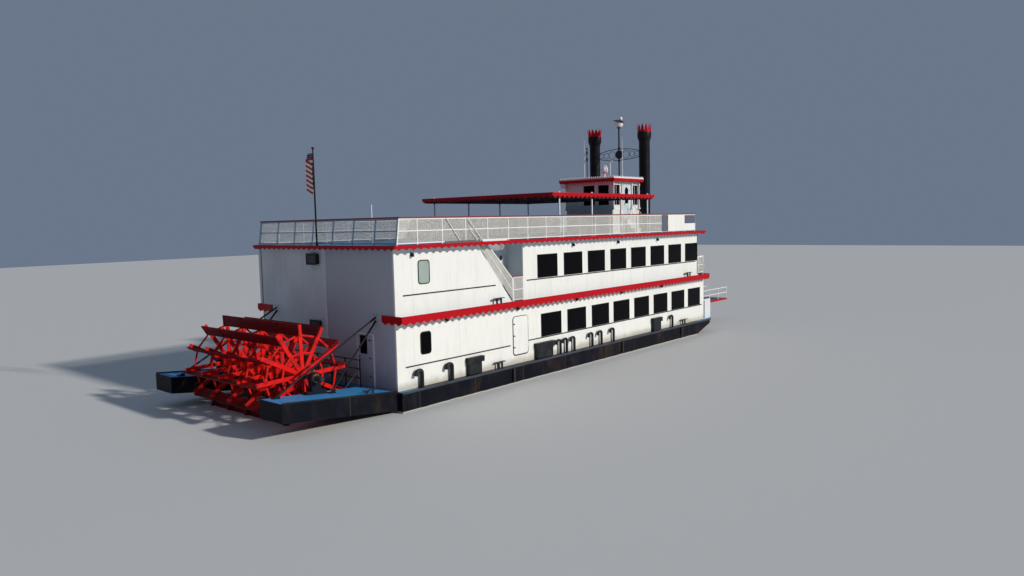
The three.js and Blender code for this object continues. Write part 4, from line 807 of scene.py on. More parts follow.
# %% Canopy roof
CANOPY_LOW, CANOPY_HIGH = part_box("canopy_roof")
CANOPY_AFT, CANOPY_FORE = boat_x(CANOPY_LOW.x) + 0.05, boat_x(CANOPY_HIGH.x) - 0.05
CANOPY_STARBOARD, CANOPY_PORT = CANOPY_LOW.y + HEM_THICK + 0.005, CANOPY_HIGH.y - HEM_THICK - 0.005
CANOPY_TOP = boat_z(CANOPY_HIGH.z)
RIB_PITCH, RIB_RADIUS = 0.75, 0.02
SHEET_TOP, SHEET_BOTTOM = CANOPY_TOP - 0.07, CANOPY_TOP - 0.13
SHADE_SHEET_INSET = 0.03
mesh = bmesh.new()
box(mesh, at(CANOPY_AFT, CANOPY_STARBOARD, SHEET_BOTTOM), at(CANOPY_FORE, CANOPY_PORT, SHEET_TOP))
rib_count = int((CANOPY_FORE - CANOPY_AFT) / RIB_PITCH)
for i in range(1, rib_count):
    x = CANOPY_AFT + i * (CANOPY_FORE - CANOPY_AFT) / rib_count
    ends = CANOPY_STARBOARD + RIB_RADIUS, CANOPY_PORT - RIB_RADIUS
    tube(mesh, [at(x, y, CANOPY_TOP - 0.066) for y in ends], RIB_RADIUS, 6)
hem_round(mesh, CANOPY_AFT, CANOPY_FORE, CANOPY_STARBOARD, CANOPY_PORT, CANOPY_TOP, 0.15, 0.085)
piece("canopy_red_roof", mesh, "trim_red", stands_for=["canopy_roof"])
# A dark sheet just under the roof plate is painted shade: it darkens the canopy's underside.
mesh = bmesh.new()
box(mesh, at(CANOPY_AFT + SHADE_SHEET_INSET, CANOPY_STARBOARD + SHADE_SHEET_INSET, SHEET_BOTTOM - 0.006),
    at(CANOPY_FORE - SHADE_SHEET_INSET, CANOPY_PORT - SHADE_SHEET_INSET, SHEET_BOTTOM - 0.0005))
piece("canopy_painted_shade_sheet", mesh, "canopy_shade_paint", "trim_red")

# %% [markdown]
# The canopy posts are square tubes. Each stands on a bolted foot and carries a small ball above the red roof's edge.

# %% Canopy feet and ball caps
CANOPY_POSTS = (10.21, 12.85, 15.48, 18.11)
CANOPY_LINES = (-4.325, 4.045)
FOOT_HALF, FOOT_THICK, FOOT_BOLT = 0.085, 0.018, 0.055
mesh = bmesh.new()
for x, y in [(x, y) for y in CANOPY_LINES for x in CANOPY_POSTS]:
    box(mesh, at(x - FOOT_HALF, y - FOOT_HALF, ROOF), at(x + FOOT_HALF, y + FOOT_HALF, ROOF + FOOT_THICK))
    for step_x in (-FOOT_BOLT, FOOT_BOLT):
        for step_y in (-FOOT_BOLT, FOOT_BOLT):
            turned(mesh, [(0, 0), (0.014, 0), (0.014, 0.012), (0, 0.014)],
                   at(x + step_x, y + step_y, ROOF + FOOT_THICK), sides=6)
    turned(mesh, [(0, 0), (0.018, 0), (0.018, 0.03), (0.045, 0.05), (0.055, 0.09), (0.045, 0.13), (0, 0.15)],
           at(x, y, CANOPY_TOP - 0.08), sides=16)
piece("canopy_feet_and_caps", mesh, "rail_white")

# %% [markdown]
# ## Railings
#
# A railing is square tube: posts, three rails and a flat red cap. Between the rails runs fine wire mesh.
# The mesh could be a transparent texture, but real wires catch light properly from every side, and square wires
# of six faces each are cheap enough to draw them all.

# %% Railing helpers
POST_WIDTH = 0.044
RAIL_HIGH, RAIL_THICK = 0.044, 0.040
CAP_HIGH, CAP_THICK, CAP_END = 0.056, 0.066, 0.02
RAIL_LEVELS = (0.12, 0.575, 1.01)
WIRE_WIDTH, WIRE_THICK, WIRE_PITCH = 0.011, 0.0025, 0.032
UP = (0, 0, 1)


def bar(mesh, start, end, towards, width, thick):
    """A straight bar of rectangular section. Its width lies along the direction towards."""
    wide = Vector(towards)
    along = (end - start).normalized()
    wide = (wide - along * wide.dot(along)).normalized()
    deep = along.cross(wide) * thick / 2
    wide = wide * width / 2
    skin(mesh, [corners(mesh, [p + wide * u + deep * v for u, v in ((-1, -1), (1, -1), (1, 1), (-1, 1))])
                for p in (start, end)])


def railing(bars, wires, cap, foot, head, posts, levels=RAIL_LEVELS, lean=0.0, corner_lean=0.0):
    """A run of railing between two points on the deck, a number of posts along it.

    lean tips all of it forward at the cap's height. corner_lean tips the first post alone, and the wires of
    the first bay fan out to follow it.
    """
    along = (head - foot).normalized()
    length = (head - foot).length
    bottom, top = levels[0], levels[-1]

    def place(distance, height):
        share = max(0.0, 1.0 - distance / posts[1]) if len(posts) > 1 else 0.0
        tip = (lean + corner_lean * share) * height / RAIL_HEIGHT
        return foot + along * distance + Vector((tip, 0, height))

    def lengthwise(target, height, past, width, thick):
        bar(target, place(-past, height), place(length + past, height), UP, width, thick)

    for distance in posts:
        bar(bars, place(distance, 0), place(distance, top), along, POST_WIDTH, POST_WIDTH)
    for level in levels:
        lengthwise(bars, level - RAIL_HIGH / 2, 0, RAIL_HIGH, RAIL_THICK)
    lengthwise(cap, top + 0.031, CAP_END, CAP_HIGH, CAP_THICK)
    for i in range(1, int(length / WIRE_PITCH)):
        distance = i * WIRE_PITCH
        bar(wires, place(distance, bottom), place(distance, top - 0.04), along, WIRE_WIDTH, WIRE_THICK)
    for i in range(1, int((top - bottom) / WIRE_PITCH)):
        lengthwise(wires, bottom + i * WIRE_PITCH, 0, WIRE_WIDTH, WIRE_THICK)


print("wire mesh pitch", WIRE_PITCH)

# %% Roof railing
RAIL_STARBOARD, RAIL_PORT = -4.745, 4.400
END_STARBOARD, END_PORT = -4.685, 4.34
RAIL_AFT, RAIL_FORE = -0.09, 22.76
STERN_RAIL_X, BOW_RAIL_X = -0.08, 22.82
STERN_LEAN = 0.15
side_posts = [0.0] + [1.005 + i * 1.285 for i in range(18)]
stern_posts = [y - END_STARBOARD for y in (END_STARBOARD, -3.455, -2.18, -0.88, 0.455, 1.735, 2.985, END_PORT)]
bow_posts = [i * 9.025 / 7 for i in range(8)]
RAIL_RUNS = {
    "starboard": ((RAIL_AFT, RAIL_STARBOARD), (RAIL_FORE, RAIL_STARBOARD), side_posts, 0.0, STERN_LEAN),
    "port": ((RAIL_AFT, RAIL_PORT), (RAIL_FORE, RAIL_PORT), side_posts, 0.0, STERN_LEAN),
    "stern": ((STERN_RAIL_X, END_STARBOARD), (STERN_RAIL_X, END_PORT), stern_posts, STERN_LEAN, 0.0),
    "bow": ((BOW_RAIL_X, END_STARBOARD), (BOW_RAIL_X, END_PORT), bow_posts, 0.0, 0.0),
}
for run, (foot, head, posts, lean, corner_lean) in RAIL_RUNS.items():
    bars, wires, cap = bmesh.new(), bmesh.new(), bmesh.new()
    railing(bars, wires, cap, at(*foot, ROOF), at(*head, ROOF), posts, lean=lean, corner_lean=corner_lean)
    # The stern run's bars and mesh are painted darker and bluer than the other runs, as painted shade.
    paint, mesh_paint = ("stern_rail_painted_shade", "mesh_shaded") if run == "stern" else ("rail_white", "mesh_white")
    piece(f"railing_{run}", bars, paint, "rail_white", bevel=0.003, stands_for=[f"roof_rail_{run}"])
    piece(f"railing_mesh_{run}", wires, mesh_paint, "rail_white")
    piece(f"railing_cap_{run}", cap, "cap_maroon", "trim_red", bevel=0.003)

# %% [markdown]
# A plain grey gate stands in the starboard railing beside the pilothouse. Forward of it the railing is closed by
# bare white boards with a grey one at the bow end.
# Aft of the stair a checkered plate and then a low white toe board close the gap under the lowest rail.

# %% Gate, board and toe boards
RAIL_FACE = RAIL_STARBOARD - POST_WIDTH / 2
GATE_AFT, GATE_FORE, GATE_STILE = 18.90, 19.52, 0.025
BOARD_AFT, BOARD_STEP, BOARD_FORE = 19.58, 21.47, 22.77


def on_rail(mesh, x0, x1, z0, z1, out, back=0.002):
    """A flat box on the outside of the starboard railing, out metres proud of it."""
    box(mesh, at(x0, RAIL_FACE - out, z0), at(x1, RAIL_FACE - back, z1))


mesh = bmesh.new()
on_rail(mesh, GATE_AFT, GATE_FORE, ROOF + 0.10, ROOF + 1.00, 0.008)
for edge_x in (GATE_AFT, GATE_FORE - GATE_STILE):
    on_rail(mesh, edge_x, edge_x + GATE_STILE, ROOF + 0.10, ROOF + 1.00, 0.014)
piece("railing_gate", mesh, "gate_grey", "inner_grey", bevel=0.002)
mesh = bmesh.new()
on_rail(mesh, BOARD_AFT, BOARD_STEP, ROOF + 0.10, 6.36, 0.012)
on_rail(mesh, BOARD_STEP, BOARD_FORE, ROOF + 0.10, 5.88, 0.012)
for clip_x in (19.75, 20.6, 21.3, 22.5):
    on_rail(mesh, clip_x, clip_x + 0.05, 5.79, 5.84, 0.016)
piece("bare_board", mesh, "house_white", "rail_white", bevel=0.002)
# Name: (edges, how far its face and its back stand out, paint, slot, bevel)
LOW_BOARDS = {
    "grey_board": ((21.50, 22.74, 5.895, 6.345), (0.018, 0.004), "gate_grey", "inner_grey", 0.003),
    "checkered_plate": ((2.32, 4.30, ROOF + 0.002, ROOF + 0.12), (0.012, 0.002), "grating_grey", "inner_grey", 0.002),
    "toe_board": ((4.44, 5.95, ROOF + 0.002, ROOF + 0.13), (0.014, 0.002), "rail_white", "rail_white", 0.002),
}
for name, (edges, outs, paint, slot, bevel) in LOW_BOARDS.items():
    mesh = bmesh.new()
    on_rail(mesh, *edges, *outs)
    piece(name, mesh, paint, slot, bevel=bevel)

# %% Stern toe board
mesh = bmesh.new()
toe_posts = [END_STARBOARD + distance for distance in stern_posts]
for near, far in zip(toe_posts, toe_posts[1:]):
    if near > 0.4:
        box(mesh, at(-0.098, near + 0.03, ROOF + 0.037), at(-0.090, far - 0.03, ROOF + 0.078))
piece("stern_toe_board", mesh, "rail_white", bevel=0.001)

# %% [markdown]
# The second deck's open bow end has the same railing. From its top a thin pipe slants down to the bulwark on each side.

# %% Second deck's bow railing
SECOND_RAIL_X, SECOND_RAIL_Y, SECOND_RAIL_FOOT = 24.43, 4.42, SECOND - 0.031
SECOND_RAIL_LEVELS = (0.244, 0.68, 1.15)
BRACE_FOOT = (25.33, 1.155)
bars, wires = bmesh.new(), bmesh.new()
for side in SIDES.values():
    y = side * SECOND_RAIL_Y
    corner = at(SECOND_RAIL_X, y, SECOND_RAIL_FOOT)
    railing(bars, wires, bars, at(UPPER_FORE + 0.005, y, SECOND_RAIL_FOOT), corner, [0.03], SECOND_RAIL_LEVELS)
    tube(bars, [at(SECOND_RAIL_X, y, SECOND + 1.13), at(BRACE_FOOT[0], y, BRACE_FOOT[1])], 0.016, 10)
railing(bars, wires, bars, at(SECOND_RAIL_X, -SECOND_RAIL_Y, SECOND_RAIL_FOOT), corner,
        [i * 2 * SECOND_RAIL_Y / 6 for i in range(7)], SECOND_RAIL_LEVELS)
piece("second_deck_railing", bars, "rail_white", bevel=0.003, stands_for=["second_deck_bow_rail"])
piece("second_deck_mesh", wires, "mesh_white", "rail_white")

# %% [markdown]
# ## Windows
#
# The big windows sit almost flush with the wall, in black rubber gaskets with rounded corners, so from a few metres
# away each is one black rectangle. Every pane is its own plate. Of the narrow windows aft the upper ones have pale,
# painted panes and the lower ones dark glass.

# %% Window tables and outlines
# Level: (aft edges, width, sill, head, the bow wall's place)
WINDOW_ROWS = {
    "lower": ((8.53, 10.53, 12.55, 14.49, 16.49, 18.51, 20.51, 22.48), 1.54, 0.95, 2.01, LOWER_FORE),
    "upper": ((8.34, 10.32, 12.27, 14.25, 16.22, 18.21, 20.17, 22.14), 1.50, 3.64, 4.70, UPPER_FORE),
}
BOW_LEFTS = {-1: (-3.70, -2.25), 1: (1.05, 2.50)}
BOW_WIDTH = 1.20
PANE_BACK = 0.010
PANE_THICK = 0.012


def rounded(u0, u1, v0, v1, radius, steps=4):
    """A rectangle with rounded corners as a list of (u, v)."""
    points = []
    for centre_u, centre_v, turn in ((u1 - radius, v0 + radius, -0.5), (u1 - radius, v1 - radius, 0.0),
                                     (u0 + radius, v1 - radius, 0.5), (u0 + radius, v0 + radius, 1.0)):
        for i in range(steps + 1):
            angle = math.pi * (turn + 0.5 * i / steps)
            points.append((centre_u + radius * math.cos(angle), centre_v + radius * math.sin(angle)))
    return points


def grown(hole, out):
    """The rectangle (u0, u1, v0, v1) grown by out metres on every side."""
    return hole[0] - out, hole[1] + out, hole[2] - out, hole[3] + out


def sharp(u0, u1, v0, v1):
    """A rectangle's four corners as a list of (u, v)."""
    return [(u0, v0), (u1, v0), (u1, v1), (u0, v1)]


def on_side(side, out, points):
    """Points (x, z) on the house's side, out metres proud of it."""
    return [at(x, side * (WALL_Y + out), z) for x, z in points]


def on_end(wall_x, out, points):
    """Points (y, z) on a wall across the boat."""
    return [at(wall_x + out, y, z) for y, z in points]


print("windows a side:", sum(len(row[0]) for row in WINDOW_ROWS.values()))

# %% Panes and gaskets
GASKET, GASKET_PROUD, GASKET_DEEP = 0.028, 0.006, 0.016
HOLE_CLEAR, PANE_CORNER, GASKET_CORNER = 0.001, 0.004, 0.05
gaskets = bmesh.new()


def add_window(panes, place, wall, left, width, sill, head, inward):
    """A pane and its gasket in a hole. place(wall, out, points) puts points on the wall."""
    hole = grown((left, left + width, sill, head), -HOLE_CLEAR)
    inward = Vector(inward)
    plate(panes, place(wall, -PANE_BACK, rounded(*hole, PANE_CORNER, 1)), inward * PANE_THICK)
    inner = rounded(*grown(hole, -GASKET), GASKET_CORNER)
    ring_plate(gaskets, place(wall, GASKET_PROUD, rounded(*hole, PANE_CORNER)), place(wall, GASKET_PROUD, inner),
               inward * GASKET_DEEP)


for level, (lefts, width, sill, head, fore) in WINDOW_ROWS.items():
    for side_name, side in SIDES.items():
        panes = bmesh.new()
        for left in lefts:
            add_window(panes, on_side, side, left, width, sill, head, (0, -side, 0))
        for left in BOW_LEFTS[side]:
            add_window(panes, on_end, fore, left, BOW_WIDTH, sill, head, (-1, 0, 0))
        piece(f"panes_{level}_{side_name}", panes, "tinted_glass", stands_for=[f"glass_{level}_{side_name}"])
piece("window_gaskets", gaskets, "rubber_black", "fitting_black", bevel=0.002)

# %% Narrow windows aft
# Edges, paint, look
NARROW = (((1.20, 1.73, 3.94, 4.79), "sage_pane", "pale"), ((1.21, 1.70, 1.25, 2.06), "tinted_glass", "dark"))
NARROW_CORNER, NARROW_FRAME = 0.10, 0.035
for hole, paint, look in NARROW:
    panes, frames = bmesh.new(), bmesh.new()
    for side in SIDES.values():
        plate(panes, on_side(side, 0.002, rounded(*hole, NARROW_CORNER)), (0, side * 0.006, 0))
        ring_plate(frames, on_side(side, 0.001, rounded(*grown(hole, NARROW_FRAME), 0.13)),
                   on_side(side, 0.001, rounded(*hole, NARROW_CORNER)), (0, side * 0.020, 0))
    piece(f"narrow_panes_{look}", panes, paint, "tinted_glass")
    piece(f"narrow_frames_{look}", frames, "fitting_black", bevel=0.003)

# %% [markdown]
# ## Wall lines, lamps and the side door
#
# A dark half-round moulding runs under the windows. Small lamps hang under both trims. The side door has
# a thick rubber seal round it and iron dogs that press it shut.

# %% Mouldings
# Side: (aft end, fore end, height)
FORE_MOULDINGS = ((7.58, 23.44, 3.60), (7.64, 24.22, 0.92))
MOULDINGS = {-1: ((0.39, 5.51, 3.54), (0.41, 6.38, 0.85)), 1: ((0.39, 7.10, 3.54), (0.41, 7.10, 0.85))}
mesh = bmesh.new()
for side, lines in MOULDINGS.items():
    for x0, x1, z in lines + FORE_MOULDINGS:
        tube(mesh, on_side(side, 0.002, ((x0, z), (x1, z))), 0.026, 8)
piece("wall_mouldings", mesh, "rubber_black", "steel_dark")

# %% Lamps under the trims
UPPER_LAMPS, LOWER_LAMPS = (0.86, 11.03, 14.92, 18.90), (2.57, 6.87, 11.22, 15.16, 19.27)
LAMP_OUT, LAMP_PLATE = 0.085, 0.05
mesh = bmesh.new()
for side in SIDES.values():
    for x, z in [(x, 5.06) for x in UPPER_LAMPS] + [(x, 2.45) for x in LOWER_LAMPS]:
        box(mesh, at(x - LAMP_PLATE, side * WALL_Y, z - LAMP_PLATE),
            at(x + LAMP_PLATE, side * (WALL_Y + 0.03), z + LAMP_PLATE))
        turned(mesh, [(0, 0), (0.055, 0.01), (0.065, 0.06), (0.05, 0.13), (0, 0.15)],
               at(x, side * (WALL_Y + LAMP_OUT), z - 0.10), sides=14)
        arm = (0.02, 0.02), (LAMP_OUT, 0.04)
        tube(mesh, [at(x, side * (WALL_Y + out), z + up) for out, up in arm], 0.014, 6)
piece("wall_lamps", mesh, "fitting_black")

# %% Side door seal and dogs
DOOR = (6.60, 7.60, 0.40, 2.07)
DOG_X, DOG_HEIGHTS = 6.66, (0.72, 1.23, 1.75)
mesh = bmesh.new()
outer = (DOOR[0] - 0.045, DOOR[1] + 0.008, DOOR[2] - 0.045, DOOR[3] + 0.02)
ring_plate(mesh, on_side(-1, 0.001, rounded(*outer, 0.17, 6)), on_side(-1, 0.001, rounded(*DOOR, 0.14, 6)),
           (0, -0.010, 0))
for z in DOG_HEIGHTS:
    turned(mesh, [(0, 0), (0.028, 0), (0.028, 0.018), (0, 0.022)], at(DOG_X, -WALL_Y - 0.006, z), (0, -1, 0), 12)
    bar(mesh, at(DOG_X - 0.075, -WALL_Y - 0.030, z + 0.02), at(DOG_X + 0.045, -WALL_Y - 0.022, z - 0.01), UP,
        0.028, 0.014)
piece("side_door_seal", mesh, "rubber_black", "fitting_black")

# %% [markdown]
# ## Deck-edge fittings
#
# Along the narrow side deck stand the tanks' vent pipes, bent over like a goose's neck so that rain stays out,
# louvred air boxes with overhanging hoods, and bitts for the mooring lines: low tables on two short posts.

# %% Vents, air boxes and bitts
SIDE_DECK_Y = WALL_Y + 0.125
VENTS = (1.10, 2.70, 9.80, 10.30, 10.90, 12.40, 13.20, 14.30, 20.40)
THICK_VENTS_END, THICK_VENT, THIN_VENT = 5.0, 0.078, 0.062
VENT_HEIGHT = 0.66
AIR_BOXES = ((3.64, 4.50), (8.04, 9.30), (18.26, 19.15))
AIR_BOX_TOP, HOOD_LOW, LID_LOW = 0.725, 0.50, 0.695
BITTS, UPPER_BITTS = (5.55, 21.75), (5.53, 22.3)
DECK_SEAT = 0.002


def add_vent(mesh, x, y, z):
    radius = THICK_VENT if x < THICK_VENTS_END else THIN_VENT
    top = z + VENT_HEIGHT
    path = bend([at(x, y, z), at(x, y, top), at(x - 0.27, y, top), at(x - 0.31, y, top - 0.17)], 0.12, 6)
    down = path[-1] - path[-2]
    tube(mesh, path, radius, 16)
    turned(mesh, [(0, 0), (radius + 0.008, 0), (radius + 0.012, 0.02), (radius + 0.008, 0.07), (0, 0.07)],
           path[-1] - down.normalized() * 0.05, down, 16)
    turned(mesh, [(0, 0), (radius + 0.012, 0), (radius + 0.012, 0.014), (radius, 0.02), (0, 0.02)],
           at(x, y, z), sides=16)


def add_air_box(mesh, side, x0, x1):
    """A louvred box whose body ends short of its hood at the fore end, with a lid over both."""
    near, far = side * (WALL_Y + 0.002), side * (WALL_Y + 0.165)
    body_fore = x1 - 0.12
    box(mesh, at(x0, near, 0.03), at(body_fore, far, HOOD_LOW))
    for grow, out, low, high in ((0.03, 0.195, HOOD_LOW, LID_LOW), (0.04, 0.205, LID_LOW, AIR_BOX_TOP)):
        box(mesh, at(x0 - grow, near, low), at(x1 + grow, side * (WALL_Y + out), high))
    for i in range(5):
        z = 0.10 + i * (HOOD_LOW - 0.12) / 5
        bar(mesh, at(x0 + 0.05, far + side * 0.006, z), at(body_fore - 0.05, far + side * 0.006, z),
            (0, side * 0.5, -0.86), 0.07, 0.008)
    for x in (x0 + 0.02, body_fore - 0.02):
        box(mesh, at(x - 0.02, far, 0.03), at(x + 0.02, far + side * 0.014, HOOD_LOW))


def add_bitts(mesh, side, middle, z, reach=0.17):
    y = side * (WALL_Y + reach)
    for x in (middle - 0.13, middle + 0.13):
        turned(mesh, [(0, 0), (0.06, 0), (0.06, 0.012), (0.042, 0.02), (0.042, 0.272), (0, 0.272)],
               at(x, y, z), sides=16)
    for half_long, half_wide, low, high in ((0.31, 0.07, 0.27, 0.295), (0.22, 0.075, 0.0, 0.012)):
        box(mesh, at(middle - half_long, y - half_wide, z + low), at(middle + half_long, y + half_wide, z + high))


for side_name, side in SIDES.items():
    mesh = bmesh.new()
    for x in VENTS:
        add_vent(mesh, x, side * SIDE_DECK_Y, DECK_SEAT)
    for x0, x1 in AIR_BOXES:
        add_air_box(mesh, side, x0, x1)
    for middle in BITTS:
        add_bitts(mesh, side, middle, DECK_SEAT, SIDE_DECK_Y - WALL_Y)
    box(mesh, at(0.90, side * (WALL_Y + 0.008), 0.001), at(23.40, side * (WALL_Y + 0.20), 0.006))
    piece(f"deck_vents_{side_name}", mesh, "fitting_black", stands_for=[f"deck_fittings_{side_name}"])
mesh = bmesh.new()
for side in SIDES.values():
    for middle in UPPER_BITTS:
        add_bitts(mesh, side, middle, SECOND)
piece("upper_bitts", mesh, "fitting_black")

# %% [markdown]
# ## Deck edge and wings
#
# A dark steel fender runs round the main deck and hides the joint between deck and hull. The two wings that carry
# the wheel are black boxes with bright blue walking tops.

# %% Deck edge
DECK_HALF = 4.705
HULL_BOW = 25.63
BOW_CORNER = 0.93
EDGE_LOW, EDGE_HIGH, EDGE_INNER, EDGE_OUTER = -0.075, 0.012, 0.001, 0.022


def deck_outline(out):
    """The main deck's plan, out metres outside its edge: from the starboard stern corner round the bow."""
    points = [(0.0, -DECK_HALF - out)]
    for centre_y, first in ((-DECK_HALF + BOW_CORNER, -0.5), (DECK_HALF - BOW_CORNER, 0.0)):
        for i in range(9):
            angle = math.pi * (first + 0.5 * i / 8)
            points.append((HULL_BOW - BOW_CORNER + (BOW_CORNER + out) * math.cos(angle),
                           centre_y + (BOW_CORNER + out) * math.sin(angle)))
    return points + [(0.0, DECK_HALF + out)]


mesh = bmesh.new()
skin(mesh, [corners(mesh, [at(*n, EDGE_LOW), at(*f, EDGE_LOW), at(*f, EDGE_HIGH), at(*n, EDGE_HIGH)])
            for n, f in zip(deck_outline(EDGE_INNER), deck_outline(EDGE_OUTER))])
piece("deck_edge", mesh, "edge_grey", "steel_dark", bevel=0.004)

# %% Wing tops
WING_AFT, WING_RISE = -4.88, 0.488
WING_OUTER, WING_FORE_INNER, WING_AFT_INNER = 4.445, 2.545, 3.155
WING_MARGIN = 0.03
CLEAT_X, CLEAT_Y = -1.05, 4.12
# Step along the deck, height and radius of the cleat's horn
CLEAT_HORN = ((-0.34, 0.16, 0.02), (-0.2, 0.12, 0.032), (0.2, 0.12, 0.032), (0.34, 0.16, 0.02))


def wing_top(x):
    return WING_RISE * x / WING_AFT


mesh = bmesh.new()
for side in SIDES.values():
    fore, aft = -WING_MARGIN, WING_AFT + WING_MARGIN
    outer = WING_OUTER - WING_MARGIN
    outline = [(fore, WING_FORE_INNER + WING_MARGIN), (fore, outer), (aft, outer),
               (aft, WING_AFT_INNER + WING_MARGIN)]
    plate(mesh, [at(x, side * y, wing_top(x) + 0.0005) for x, y in outline], (0, 0, 0.005))
piece("wing_walking_tops", mesh, "wing_blue", "deck_blue")
mesh = bmesh.new()
for side in SIDES.values():
    y, z = side * CLEAT_Y, wing_top(CLEAT_X)
    for step in (-0.14, 0.14):
        turned(mesh, [(0, -0.02), (0.05, -0.02), (0.035, 0.03), (0.03, 0.13), (0, 0.14)],
               at(CLEAT_X + step, y, z), sides=12)
    tube(mesh, [at(CLEAT_X + step, y, z + up) for step, up, radius in CLEAT_HORN],
         [radius for step, up, radius in CLEAT_HORN], 10)
    rim_y = side * (WING_OUTER - 0.012)
    bar(mesh, at(-0.02, rim_y, 0.03), at(WING_AFT + 0.02, rim_y, WING_RISE + 0.028), UP, 0.05, 0.02)
piece("wing_cleats", mesh, "fitting_black")

# %% [markdown]
# ## Chimneys
#
# A chimney is a plain black shaft that flares into a bulb. On the bulb stands a crown: a red sheet-metal ring whose
# top is cut into long points that lean outwards. The points are made as the trims were, as columns of one strip.

# %% Chimneys
STACK_X, STACK_Y, STACK_RADIUS = 22.11, 1.79, 0.325
SEAMS = (7.4, 9.3)
SEAM_BAND = ((0, 0), (0.012, 0.01), (0.012, 0.07), (0, 0.08))
BULB = [(STACK_RADIUS, 10.78), (0.345, 10.88), (0.385, 10.97), (0.408, 11.06), (0.415, 11.16), (0.413, 11.28),
        (0.405, 11.37), (0.40, 11.39), (0.36, 11.39), (0.30, 11.30), (0.30, 10.6), (0, 10.6)]
CROWN_LOW, CROWN_BAND, CROWN_TIP = 11.36, 11.41, 11.86
CROWN_POINTS = 12
CROWN_LEAF = (0.0, 0.50, 0.78, 1.0, 0.78, 0.50)


def chimney_shaft(mesh, y):
    foot = [(0, ROOF), (0.385, ROOF), (0.385, ROOF + 0.05), (0.34, ROOF + 0.07), (STACK_RADIUS, ROOF + 0.12)]
    bands = [(STACK_RADIUS + out, z + up) for z in SEAMS for out, up in SEAM_BAND]
    turned(mesh, foot + bands + BULB, at(STACK_X, y, 0), sides=48)


def crown(mesh, y):
    rows = []
    columns = CROWN_POINTS * len(CROWN_LEAF)
    for i in range(columns):
        angle = 2 * math.pi * i / columns
        share = CROWN_LEAF[i % len(CROWN_LEAF)]
        top = CROWN_BAND + (CROWN_TIP - CROWN_BAND) * share
        flare = 0.392 + 0.055 * share
        profile = [(0.405, CROWN_LOW), (0.398, CROWN_BAND), (flare + 0.008, top), (flare - 0.008, top),
                   (0.384, CROWN_BAND), (0.391, CROWN_LOW)]
        forward, sideways = math.cos(angle), math.sin(angle)
        rows.append(corners(mesh, [at(STACK_X + r * forward, y + r * sideways, z) for r, z in profile]))
    skin(mesh, rows, closed=True)


for side_name, side in SIDES.items():
    mesh = bmesh.new()
    chimney_shaft(mesh, side * STACK_Y)
    piece(f"chimney_{side_name}", mesh, "stack_black", stands_for=[f"stack_{side_name}"])
    mesh = bmesh.new()
    crown(mesh, side * STACK_Y)
    piece(f"crown_{side_name}", mesh, "trim_red")

# %% [markdown]
# ## Spreader, mast and lamp
#
# Between the chimneys hangs a lens-shaped spreader of bent rod with rings in it, and a plain disc at its middle.
# The mast goes up through it to a white globe lamp with a tilted shade.

# %% Spreader and mast
SPREAD_HALF = 1.462
MAST_TOP, MAST_RADIUS = 11.78, 0.048
CHORDS = ((10.50, 10.28), (9.82, 9.97))
CHORD_STEPS, RING_STEPS = 16, 28
RINGS, RINGS_Z = ((0.50, 0.235), (0.93, 0.185), (1.27, 0.145)), 10.14
DISC = [(0, -0.05), (0.235, -0.05), (0.25, -0.04), (0.262, -0.02), (0.262, 0.02), (0.25, 0.04), (0.235, 0.05),
        (0.225, 0.036), (0, 0.030)]
mesh = bmesh.new()
tube(mesh, [at(STACK_X, 0, ROOF), at(STACK_X, 0, MAST_TOP)], MAST_RADIUS, 16)
box(mesh, at(STACK_X - 0.12, -0.12, ROOF), at(STACK_X + 0.12, 0.12, ROOF + 0.02))
for middle, end in CHORDS:
    shares = [i / CHORD_STEPS - 1 for i in range(2 * CHORD_STEPS + 1)]
    chord = [(share * SPREAD_HALF, end + (middle - end) * (1 - share ** 2) ** 0.8) for share in shares]
    tube(mesh, [at(STACK_X, y, z) for y, z in chord], 0.020, 10)
for side in SIDES.values():
    for y, radius in RINGS:
        tube(mesh, [at(STACK_X, side * y + radius * math.cos(a), RINGS_Z + radius * math.sin(a))
                    for a in (2 * math.pi * i / RING_STEPS for i in range(RING_STEPS + 1))], 0.013, 8)
turned(mesh, DISC, at(STACK_X, 0, 10.16), (1, 0, 0), 40)
for z in (10.56, 9.76):
    turned(mesh, [(0, -0.08), (0.05, -0.06), (0.085, 0), (0.05, 0.06), (0, 0.08)], at(STACK_X, 0, z), sides=16)
piece("spreader", mesh, "navy_iron", "fitting_black", stands_for=["mast_and_spreader"])

# %% Lamp
GLOBE = [(0, 11.79), (0.11, 11.79), (0.15, 11.82), (0.225, 11.88), (0.255, 11.98), (0.25, 12.08), (0.20, 12.18),
         (0, 12.22)]
SHADE = [(0.37, -0.035), (0.375, -0.02), (0.16, 0.045), (0, 0.06), (0, 0.04), (0.15, 0.02), (0.36, -0.04)]
SHADE_TILT = (0.0, -0.22, 1.0)
mesh = bmesh.new()
turned(mesh, GLOBE, at(STACK_X, 0, 0), sides=32)
turned(mesh, [(0, -0.11), (0.07, -0.09), (0.105, -0.03), (0.105, 0.03), (0.07, 0.09), (0, 0.11)],
       at(STACK_X, -0.14, 12.328), sides=24)
piece("globe_lamp", mesh, "lamp_white", stands_for=["mast_lamp"])
mesh = bmesh.new()
turned(mesh, SHADE, at(STACK_X, 0.0, 12.20), SHADE_TILT, 32)
turned(mesh, [(0, 11.76), (0.12, 11.76), (0.14, 11.80), (0.12, 11.84), (0, 11.84)], at(STACK_X, 0, 0), sides=20)
piece("lamp_shade", mesh, "fitting_black")

# %% [markdown]
# ## Pilothouse
#
# The pilothouse is the boat's showpiece: slim white columns between its windows, a row of little white arches under
# the eave, the red hem, and white cresting like a small fence on top. All three edgings are the same strip of
# scallops with another pitch and another depth, and the cresting simply points upwards.

